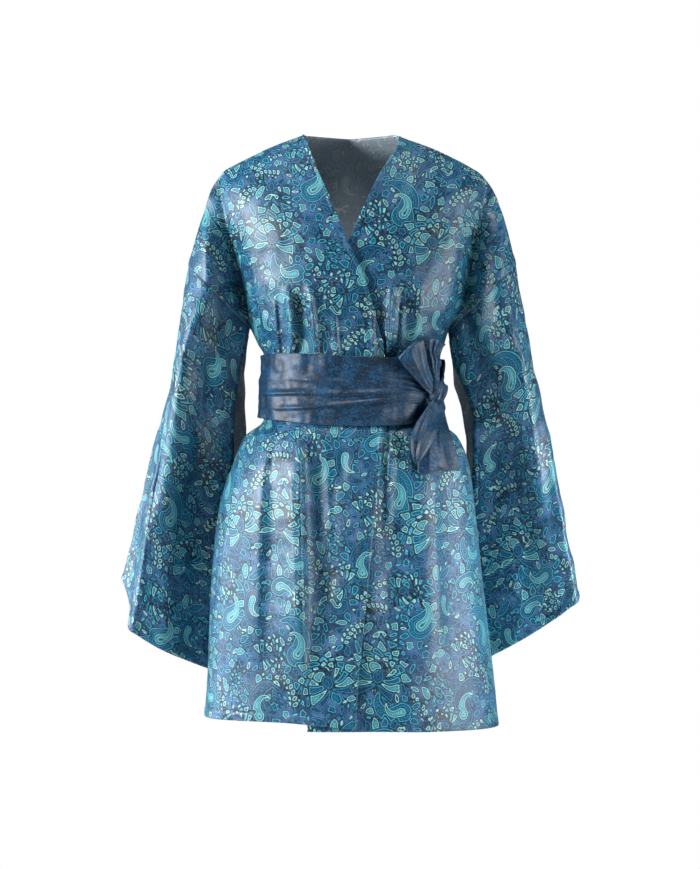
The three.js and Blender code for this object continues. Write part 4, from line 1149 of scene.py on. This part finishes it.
def rosette(field, a, b, size, turn, hue):
    bloom(field, (a, b), size, 9, turn, hue)
    bloom(field, (a, b), size * 0.62, 7, turn + 20, TEAL if hue != TEAL else PALE)
    bloom(field, (a, b), size * 0.3, 5, turn, hue)


def paisley(field, inner, a, b, size, turn, curl, hue):
    """A curled drop with another inside it, and a fringe of leaves along its outer edge."""
    wide = size * 0.20
    # Drawn aside first: the fringe needs the drop's line, and has to lie beneath the drop.
    line = stroke(SCRATCH, (a, b), turn, curl, size, drop_width(wide), hue)
    side = -90 if curl > 0 else 90
    for k in range(0, 12, 2):
        away = math.radians(heading(line, k) + side)
        rim = wide * (1 - k / 14) ** 0.8 + 0.6
        root = line[k] + rim * np.array([math.cos(away), math.sin(away)])
        stroke(field, root, math.degrees(away) - 0.5 * side, 0.6 * side, 17 - 0.7 * k,
               leaf_width(3.9), (BLUE, PALE, TEAL)[(k // 2) % 3], 6)
    for k in (-2, 0, 2):
        away = math.radians(turn + 180 - 30 * k * math.copysign(1, curl))
        root = line[0] + (wide + 0.6) * np.array([math.cos(away), math.sin(away)])
        stroke(field, root, math.degrees(away), 0.4 * side, 13, leaf_width(3.6), TEAL, 6)
    stroke(field, (a, b), turn, curl, size, drop_width(wide), hue)
    start = line[0] + 0.1 * (line[3] - line[0])
    stroke(inner, start, turn, curl * 0.9, size * 0.55, drop_width(wide * 0.42),
           PALE if hue != PALE else TEAL, 12, 2.4)


def scroll(field, a, b, size, turn, curl, hue):
    line = stroke(field, (a, b), turn, curl, size, stem_width(3.6), hue, 22)
    for k, lean in ((3, 52), (6, -50), (9, 55), (12, -52), (15, 50), (18, -46)):
        stroke(field, line[k], heading(line, k) + lean, 0.9 * lean, size * 0.24,
               leaf_width(size * 0.042 + 1.0), PALE if k % 2 else hue, 8)


def spray(field, a, b, size, turn, curl, hue):
    line = stroke(field, (a, b), turn, curl, size, stem_width(1.5), TEAL, 12)
    for k in range(2, 13, 2):
        for lean in (46, -46):
            stroke(field, line[k], heading(line, k) + lean, 10, 8.5 - 0.3 * k,
                   leaf_width(2.4), hue, 5)


def leaf(field, a, b, size, turn, curl, hue):
    stroke(field, (a, b), turn, curl, size, leaf_width(size * 0.17), hue, 10, 2.8)


# %% The design, each motif placed one by one in the repeat
PEONIES = [(30, 52, 42, 78, PALE), (90, 210, 40, 118, PALE), (64, 142, 27, 20, TEAL),
           (104, 318, 26, 150, PALE), (20, 232, 25, 30, PALE)]
ROSETTES = [(98, 34, 15, 10, BLUE), (56, 304, 14, 90, PALE)]
PAISLEYS = [
    (78, 100, 66, 30, 170, TEAL), (14, 160, 62, 120, -165, BLUE), (56, 236, 64, 60, 165, TEAL),
    (112, 128, 48, 250, 150, BLUE), (56, 6, 50, 200, -160, TEAL), (104, 292, 52, 130, 160, BLUE),
    (24, 306, 44, 40, -150, TEAL),
]
SCROLLS = [
    (8, 96, 92, 50, 150, TEAL), (112, 168, 84, 190, 160, BLUE), (4, 214, 88, 30, -150, TEAL),
    (116, 60, 82, 140, -140, TEAL), (44, 84, 74, 110, 160, BLUE), (70, 180, 80, 150, -150, TEAL),
    (90, 262, 78, 100, 150, TEAL), (38, 190, 66, 100, -150, BLUE), (80, 10, 74, 60, -150, TEAL),
    (10, 20, 72, 60, 130, BLUE), (30, 280, 66, 10, 150, TEAL),
]
SPRAYS = [
    (52, 172, 40, 80, 60, PALE), (12, 124, 40, 70, -60, PALE), (98, 84, 34, 60, 60, PALE),
    (72, 280, 38, 200, 60, PALE), (6, 190, 34, 60, -50, PALE), (84, 320, 36, 100, 40, PALE),
    (46, 118, 30, 150, 50, PALE), (110, 244, 34, 80, -60, PALE), (34, 12, 32, 100, 50, PALE),
]
LEAVES = [
    (30, 48, 34, -80, 20, TEAL), (38, 48, 30, -40, 30, BLUE), (20, 50, 30, -130, -30, TEAL),
    (92, 204, 32, -60, 20, TEAL), (98, 210, 28, -20, 30, BLUE), (82, 206, 28, -110, -30, BLUE),
    (40, 226, 28, 30, 30, PALE), (60, 70, 26, 150, -30, TEAL), (104, 150, 28, 20, 40, TEAL),
    (74, 300, 26, 60, 30, BLUE), (18, 222, 28, 20, -40, TEAL), (46, 340, 26, 120, 30, BLUE),
]
FILLERS, LEAST_GAP, BLOOM_GAP, LARGEST_FILLER = 420, 2.0, 5.6, 6.5

SHAPES, INNER, SCRATCH = blank_field(), blank_field(), blank_field()
for row in SCROLLS:
    scroll(SHAPES, *row)
for row in SPRAYS:
    spray(SHAPES, *row)
for row in LEAVES:
    leaf(SHAPES, *row)
for row in PAISLEYS:
    paisley(SHAPES, INNER, *row)
COVERS = blank_field()
for row in ROSETTES:
    rosette(SHAPES, *row)
    rosette(COVERS, *row)
for row in PEONIES:
    peony(SHAPES, *row)
    peony(COVERS, *row)
INNER.d = np.maximum(INNER.d, SHAPE_GAP - COVERS.d)  # a bloom hides what lies beneath it
filled = 0
for k in range(FILLERS):
    i, j = np.unravel_index(SHAPES.d.argmax(), SHAPES.d.shape)
    gap = min(SHAPES.d[i, j] - SHAPE_GAP, LARGEST_FILLER)
    if gap < LEAST_GAP:
        break
    at = np.array([SHAPES.a[i, j], SHAPES.b[i, j]])
    if gap > BLOOM_GAP:
        bloom(SHAPES, at, gap, 5, 37 * k, (BLUE, TEAL, PALE)[k % 3])
    else:
        head = math.radians(67 * k)
        root = at - 1.6 * gap * np.array([math.cos(head), math.sin(head)])
        hue = (TEAL, BLUE, BLUE, TEAL, PALE)[k % 5]
        stroke(SHAPES, root, 67 * k, 25, 3.2 * gap, leaf_width(gap * 0.6), hue, 6)
    filled += 1
covered = round(float((SHAPES.d < 0).mean()), 2)
print("print:", filled, "small shapes fill the gaps,", covered, "covered")


# %% Carry the print onto the cloth
PRINT_SCALE, SASH_SCALE = 1.3, 0.9


def sample(field, uv, scale):
    """Distance, hatching and colour family of the print at places on the cloth."""
    uv = uv / scale
    column = np.floor(uv[:, 0] / REPEAT_WIDE)
    u = (uv[:, 0] - column * REPEAT_WIDE) / CELL
    v = ((uv[:, 1] - column * DROP) % REPEAT_TALL) / CELL
    tall, wide = field.d.shape
    j, i = np.minimum(u.astype(int), wide - 2), v.astype(int) % tall
    fu, fv, above = u - j, v - v.astype(int), (i + 1) % tall
    d = mix(mix(field.d[i, j], field.d[i, j + 1], fu),
            mix(field.d[above, j], field.d[above, j + 1], fu), fv)
    return np.stack([d * scale, field.q[i, j], field.hue[i, j]], -1)


def carry_print(name):
    mesh = PIECES[name].data
    scale = PRINT_SCALE if name in PRINTED else SASH_SCALE
    for label, field in (("shapes", SHAPES), ("inner", INNER)):
        values = mesh.attributes.new(label, "FLOAT_VECTOR", "POINT")
        found = sample(field, CLOTH_UV[name], scale).astype(np.float32)
        values.data.foreach_set("vector", found.ravel())


for name in PIECES:
    carry_print(name)


# %% [markdown]
# ## Finishes
#
# Satin floats its threads along one direction, so it shines softly and shows wide highlights.
# The shader reads the print's distances and paints outline, border, fill and hatching. The
# reverse shows the same design, muted, because the ink only half comes through.

# %% Short names for shader nodes
def srgb(red, green, blue):
    """A colour as a screen shows it, 0 to 255, as the light values that a shader wants."""
    part = [c / 255 for c in (red, green, blue)]
    return tuple(c / 12.92 if c < 0.04045 else ((c + 0.055) / 1.055) ** 2.4 for c in part) + (1.0,)


class Finish:
    """A material while it is made, with short names for the nodes it needs."""

    def __init__(self, name):
        self.material = bpy.data.materials.new(name)
        self.material.use_nodes = True
        self.tree = self.material.node_tree
        self.shader = self.tree.nodes["Principled BSDF"]

    def put(self, socket, value):
        if isinstance(value, bpy.types.NodeSocket):
            self.tree.links.new(value, socket)
        else:
            socket.default_value = value

    def math(self, operation, a, b=0.0, c=0.0):
        node = self.tree.nodes.new("ShaderNodeMath")
        node.operation = operation
        for socket, value in zip(node.inputs, (a, b, c)):
            self.put(socket, value)
        return node.outputs[0]

    def band(self, value, low, high):
        """0 at `low`, 1 at `high`, soft between."""
        node = self.tree.nodes.new("ShaderNodeMapRange")
        node.interpolation_type = "SMOOTHSTEP"
        self.put(node.inputs["Value"], value)
        node.inputs["From Min"].default_value = low
        node.inputs["From Max"].default_value = high
        return node.outputs["Result"]

    def blend(self, share, low, high, kind="MIX"):
        node = self.tree.nodes.new("ShaderNodeMix")
        node.data_type, node.blend_type = "RGBA", kind
        for key, value in ((0, share), (6, low), (7, high)):
            self.put(node.inputs[key], value)
        return node.outputs[2]

    def ramp(self, value, stops):
        node = self.tree.nodes.new("ShaderNodeValToRGB")
        steps = node.color_ramp.elements
        steps[0].position, steps[0].color = stops[0]
        steps[1].position, steps[1].color = stops[-1]
        for place, colour in stops[1:-1]:
            steps.new(place).color = colour
        self.put(node.inputs["Fac"], value)
        return node.outputs["Color"]

    def attribute(self, name):
        node = self.tree.nodes.new("ShaderNodeAttribute")
        node.attribute_name = name
        split = self.tree.nodes.new("ShaderNodeSeparateXYZ")
        self.tree.links.new(node.outputs["Vector"], split.inputs[0])
        return split.outputs

    def cloth_place(self, scale_x, scale_y):
        uv = self.tree.nodes.new("ShaderNodeUVMap")
        uv.uv_map = "cloth"
        size = self.tree.nodes.new("ShaderNodeMapping")
        size.inputs["Scale"].default_value = (scale_x, scale_y, 1)
        self.tree.links.new(uv.outputs[0], size.inputs[0])
        return size.outputs[0]

    def noise(self, place, scale, detail=2.0, rough=0.5, warp=0.0):
        node = self.tree.nodes.new("ShaderNodeTexNoise")
        for key, value in (("Vector", place), ("Scale", scale), ("Detail", detail),
                           ("Roughness", rough), ("Distortion", warp)):
            self.put(node.inputs[key], value)
        return node.outputs["Fac"]

    def bump(self, height, distance, strength=1.0):
        node = self.tree.nodes.new("ShaderNodeBump")
        node.inputs["Distance"].default_value = distance
        node.inputs["Strength"].default_value = strength
        self.tree.links.new(height, node.inputs["Height"])
        self.tree.links.new(node.outputs[0], self.shader.inputs["Normal"])

    def set(self, **values):
        for key, value in values.items():
            self.shader.inputs[key.replace("_", " ")].default_value = value


# %% Colours of the print
NAVY, DEEP = srgb(4, 22, 40), srgb(8, 46, 74)
GROUND_DARK, GROUND_LIGHT = srgb(44, 60, 100), srgb(122, 122, 172)
AQUA, CREAM = srgb(120, 204, 222), srgb(250, 246, 232)
FAMILIES = {  # border, fill, core
    "teal": (AQUA, srgb(2, 88, 128), srgb(10, 138, 176)),
    "blue": (srgb(70, 150, 186), srgb(10, 62, 104), srgb(28, 104, 152)),
    "pale": (CREAM, srgb(84, 168, 188), srgb(186, 224, 224)),
}
RAMP_FROM, RAMP_SPAN = -1.0, 17.0


def family_stops(border, fill, core):
    """Colours from the edge of a shape inwards, at distances in millimetres."""
    inwards = [(-1.0, NAVY), (0.55, NAVY), (0.8, border), (1.5, border), (1.8, DEEP), (2.2, DEEP),
               (2.5, fill), (6.0, core), (6.8, NAVY), (7.3, NAVY), (7.7, border), (8.6, fill),
               (16.0, core)]
    return [((mm - RAMP_FROM) / RAMP_SPAN, colour) for mm, colour in inwards]


def print_layer(finish, under, label):
    distance, hatch, hue = finish.attribute(label)
    inside = finish.math("MULTIPLY_ADD", distance, -1 / RAMP_SPAN, -RAMP_FROM / RAMP_SPAN)
    teal, blue, pale = (finish.ramp(inside, family_stops(*FAMILIES[key]))
                        for key in ("teal", "blue", "pale"))
    cool = finish.blend(finish.band(hue, 0.12, 0.22), teal, blue)
    colour = finish.blend(finish.band(hue, 0.45, 0.55), cool, pale)
    wave = finish.math("SINE", finish.math("MULTIPLY", hatch, 2 * math.pi))
    lines = finish.math("MULTIPLY", finish.band(wave, 0.35, 0.8), finish.band(distance, -2.0, -3.0))
    colour = finish.blend(finish.math("MULTIPLY", lines, 0.62), colour, NAVY)
    return finish.blend(finish.band(distance, 0.25, -0.1), under, colour)


def thread_lines(finish, scale, turns, thin):
    """Fine wandering lines, as the level lines of a smooth noise."""
    level = finish.noise(finish.cloth_place(1, 1), scale, 1.0, 0.4, 0.6)
    saw = finish.math("FRACT", finish.math("MULTIPLY", level, turns))
    return finish.band(finish.math("ABSOLUTE", finish.math("SUBTRACT", saw, 0.5)), thin, 0.0)


def printed(name):
    finish = Finish(name)
    patches = finish.noise(finish.cloth_place(1, 1), 38.0, 2.0)
    ground = finish.blend(finish.band(patches, 0.35, 0.65), GROUND_DARK, GROUND_LIGHT)
    deep_lines = finish.math("MULTIPLY", thread_lines(finish, 95.0, 7.0, 0.16), 0.55)
    ground = finish.blend(deep_lines, ground, DEEP)
    colour = print_layer(finish, print_layer(finish, ground, "shapes"), "inner")
    pale_lines = finish.math("MULTIPLY", thread_lines(finish, 140.0, 6.0, 0.13), 0.34)
    return finish, finish.blend(pale_lines, colour, AQUA)


def weave(finish, thread, depth_mm, strength):
    """Fine satin threads: long floats across, with a little slub."""
    floats = finish.noise(finish.cloth_place(thread * 0.22, thread), 1.0, 2.0)
    finish.bump(floats, depth_mm * MM, strength)


# %% Printed satin, its reverse, and the sash cloth
SATIN, satin_colour = printed("printed_satin")
INK_DEPTH = (0.30, 0.68, 0.76, 1.0)
satin_colour = SATIN.blend(1.0, satin_colour, INK_DEPTH, "MULTIPLY")
SATIN.put(SATIN.shader.inputs["Base Color"], satin_colour)
SATIN.set(Roughness=0.44, Specular_IOR_Level=0.5, Sheen_Weight=0.04, Sheen_Roughness=0.35)
weave(SATIN, 1500.0, 0.06, 0.35)

REVERSE, reverse_colour = printed("satin_reverse")
SLATE = srgb(204, 216, 224)
reverse_colour = REVERSE.blend(0.66, reverse_colour, SLATE)
REVERSE.put(REVERSE.shader.inputs["Base Color"], reverse_colour)
REVERSE.set(Roughness=0.68, Specular_IOR_Level=0.3, Sheen_Weight=0.1)
weave(REVERSE, 1300.0, 0.08, 0.4)

NAVY_SATIN = Finish("sash_cloth")
SASH_DARK, SASH_MID, SASH_LIGHT = srgb(2, 20, 40), srgb(4, 42, 74), srgb(18, 76, 118)
patches = NAVY_SATIN.noise(NAVY_SATIN.cloth_place(1, 1), 46.0, 3.0, 0.6)
tone = NAVY_SATIN.blend(NAVY_SATIN.band(patches, 0.3, 0.7), SASH_MID, SASH_LIGHT)
# The same design in one darker tone: the outlines of its shapes, and their hatching.
edge, hatch, _ = NAVY_SATIN.attribute("shapes")
edge = NAVY_SATIN.band(NAVY_SATIN.math("ABSOLUTE", edge), 0.85, 0.25)
wave = NAVY_SATIN.math("SINE", NAVY_SATIN.math("MULTIPLY", hatch, 2 * math.pi))
hatch = NAVY_SATIN.math("MULTIPLY", NAVY_SATIN.band(wave, 0.4, 0.9), 0.35)
lines = NAVY_SATIN.math("MAXIMUM", edge, hatch)
tone = NAVY_SATIN.blend(NAVY_SATIN.math("MULTIPLY", lines, 0.75), tone, SASH_DARK)
rubbed = NAVY_SATIN.noise(NAVY_SATIN.cloth_place(1, 1), 420.0, 3.0, 0.7)
rubbed = NAVY_SATIN.math("MULTIPLY", NAVY_SATIN.band(rubbed, 0.5, 0.75), 0.2)
tone = NAVY_SATIN.blend(rubbed, tone, AQUA)
NAVY_SATIN.put(NAVY_SATIN.shader.inputs["Base Color"], tone)
NAVY_SATIN.set(Roughness=0.47, Specular_IOR_Level=0.48, Sheen_Weight=0.0)
weave(NAVY_SATIN, 900.0, 0.12, 0.5)

for name, piece in PIECES.items():
    # The outer face and the rim take the first finish, the inner face the second.
    for finish in (SATIN, REVERSE) if name in PRINTED else (NAVY_SATIN, NAVY_SATIN):
        piece.data.materials.append(finish.material)

# %% [markdown]
# ## Stitches
#
# The printed cloth's free edges are turned over and sewn down with a matching thread. The many
# stitches are one shape over and over, so Geometry Nodes places it: the path becomes a curve,
# the curve becomes evenly spaced points that know their direction, and each point gets one
# stitch. The result is a plain mesh, which keeps nothing that still has to be worked out.

# %% Thread
THREAD = Finish("sewing_thread")
strands = THREAD.noise(THREAD.tree.nodes.new("ShaderNodeTexCoord").outputs["Object"], 2600.0, 2.0)
THREAD.put(THREAD.shader.inputs["Base Color"],
           THREAD.blend(strands, srgb(24, 84, 118), srgb(96, 158, 186)))
THREAD.set(Roughness=0.55, Specular_IOR_Level=0.4, Sheen_Weight=0.2)
THREAD.bump(strands, 0.1 * MM, 0.5)

# %% A tree that sews along a path
STITCH_PITCH, STITCH_LONG, STITCH_THICK = 3.6, 2.5, 0.55
STITCH_FACES = 20


def stitch_tree():
    tree = bpy.data.node_groups.new("stitches_along_a_path", "GeometryNodeTree")
    tree.interface.new_socket("Path", in_out="INPUT", socket_type="NodeSocketGeometry")
    for label in ("Pitch", "Long", "Thick"):
        tree.interface.new_socket(label, in_out="INPUT", socket_type="NodeSocketFloat")
    tree.interface.new_socket("Stitches", in_out="OUTPUT", socket_type="NodeSocketGeometry")
    kinds = {"in": "NodeGroupInput", "curve": "GeometryNodeMeshToCurve",
             "points": "GeometryNodeCurveToPoints", "bead": "GeometryNodeMeshIcoSphere",
             "size": "ShaderNodeCombineXYZ", "shape": "GeometryNodeTransform",
             "place": "GeometryNodeInstanceOnPoints", "real": "GeometryNodeRealizeInstances",
             "finish": "GeometryNodeSetMaterial", "out": "NodeGroupOutput"}
    nodes = {key: tree.nodes.new(kind) for key, kind in kinds.items()}
    nodes["points"].mode = "LENGTH"
    nodes["bead"].inputs["Radius"].default_value = 0.5
    nodes["bead"].inputs["Subdivisions"].default_value = 1
    nodes["finish"].inputs["Material"].default_value = THREAD.material
    for source, output, target, entry in (
            ("in", "Path", "curve", "Mesh"), ("curve", "Curve", "points", "Curve"),
            ("in", "Pitch", "points", "Length"), ("in", "Thick", "size", "X"),
            ("in", "Thick", "size", "Y"), ("in", "Long", "size", "Z"),
            ("bead", "Mesh", "shape", "Geometry"), ("size", "Vector", "shape", "Scale"),
            ("points", "Points", "place", "Points"), ("points", "Rotation", "place", "Rotation"),
            ("shape", "Geometry", "place", "Instance"), ("place", "Instances", "real", "Geometry"),
            ("real", "Geometry", "finish", "Geometry"), ("finish", "Geometry", "out", "Stitches")):
        tree.links.new(nodes[source].outputs[output], nodes[target].inputs[entry])
    return tree


STITCH_TREE = stitch_tree()


def sew(name):
    """The stitches along the kept lines of one piece, as one plain mesh."""
    places, edges = [], []
    for line in SEWN[name]:
        first = len(places)
        places += [tuple(p * MM) for p in line]
        edges += [(first + k, first + k + 1) for k in range(len(line) - 1)]
    path_mesh = bpy.data.meshes.new(name + "_seam_lines")
    path_mesh.from_pydata(places, edges, [])
    path_object = bpy.data.objects.new(name + "_seam_lines", path_mesh)
    scene.collection.objects.link(path_object)
    sewing = path_object.modifiers.new("stitches", "NODES")
    sewing.node_group = STITCH_TREE
    wanted = {"Pitch": STITCH_PITCH * MM, "Long": STITCH_LONG * MM, "Thick": STITCH_THICK * MM}
    for socket in STITCH_TREE.interface.items_tree:
        if socket.name in wanted:
            sewing[socket.identifier] = wanted[socket.name]
    ready = path_object.evaluated_get(bpy.context.evaluated_depsgraph_get())
    sewn = bpy.data.objects.new(name + "_stitches", bpy.data.meshes.new_from_object(ready))
    scene.collection.objects.link(sewn)
    sewn.data.materials.clear()
    sewn.data.materials.append(THREAD.material)
    sewn.data.polygons.foreach_set("material_index", np.zeros(len(sewn.data.polygons), np.int32))
    bpy.data.objects.remove(path_object)
    print(name, "has", len(sewn.data.polygons) // STITCH_FACES, "stitches")
    return sewn


STITCHES = {name: sew(name) for name in PRINTED}

# %% [markdown]
# ## The pieces on the body
#
# Every piece rides on the one body and stands for its solid in the imported model.


for name, piece in PIECES.items():
    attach(piece, "root")
    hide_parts(name)
    sewn_on = [STITCHES[name]] if name in STITCHES else []
    for stitches in sewn_on:
        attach(stitches, "root")
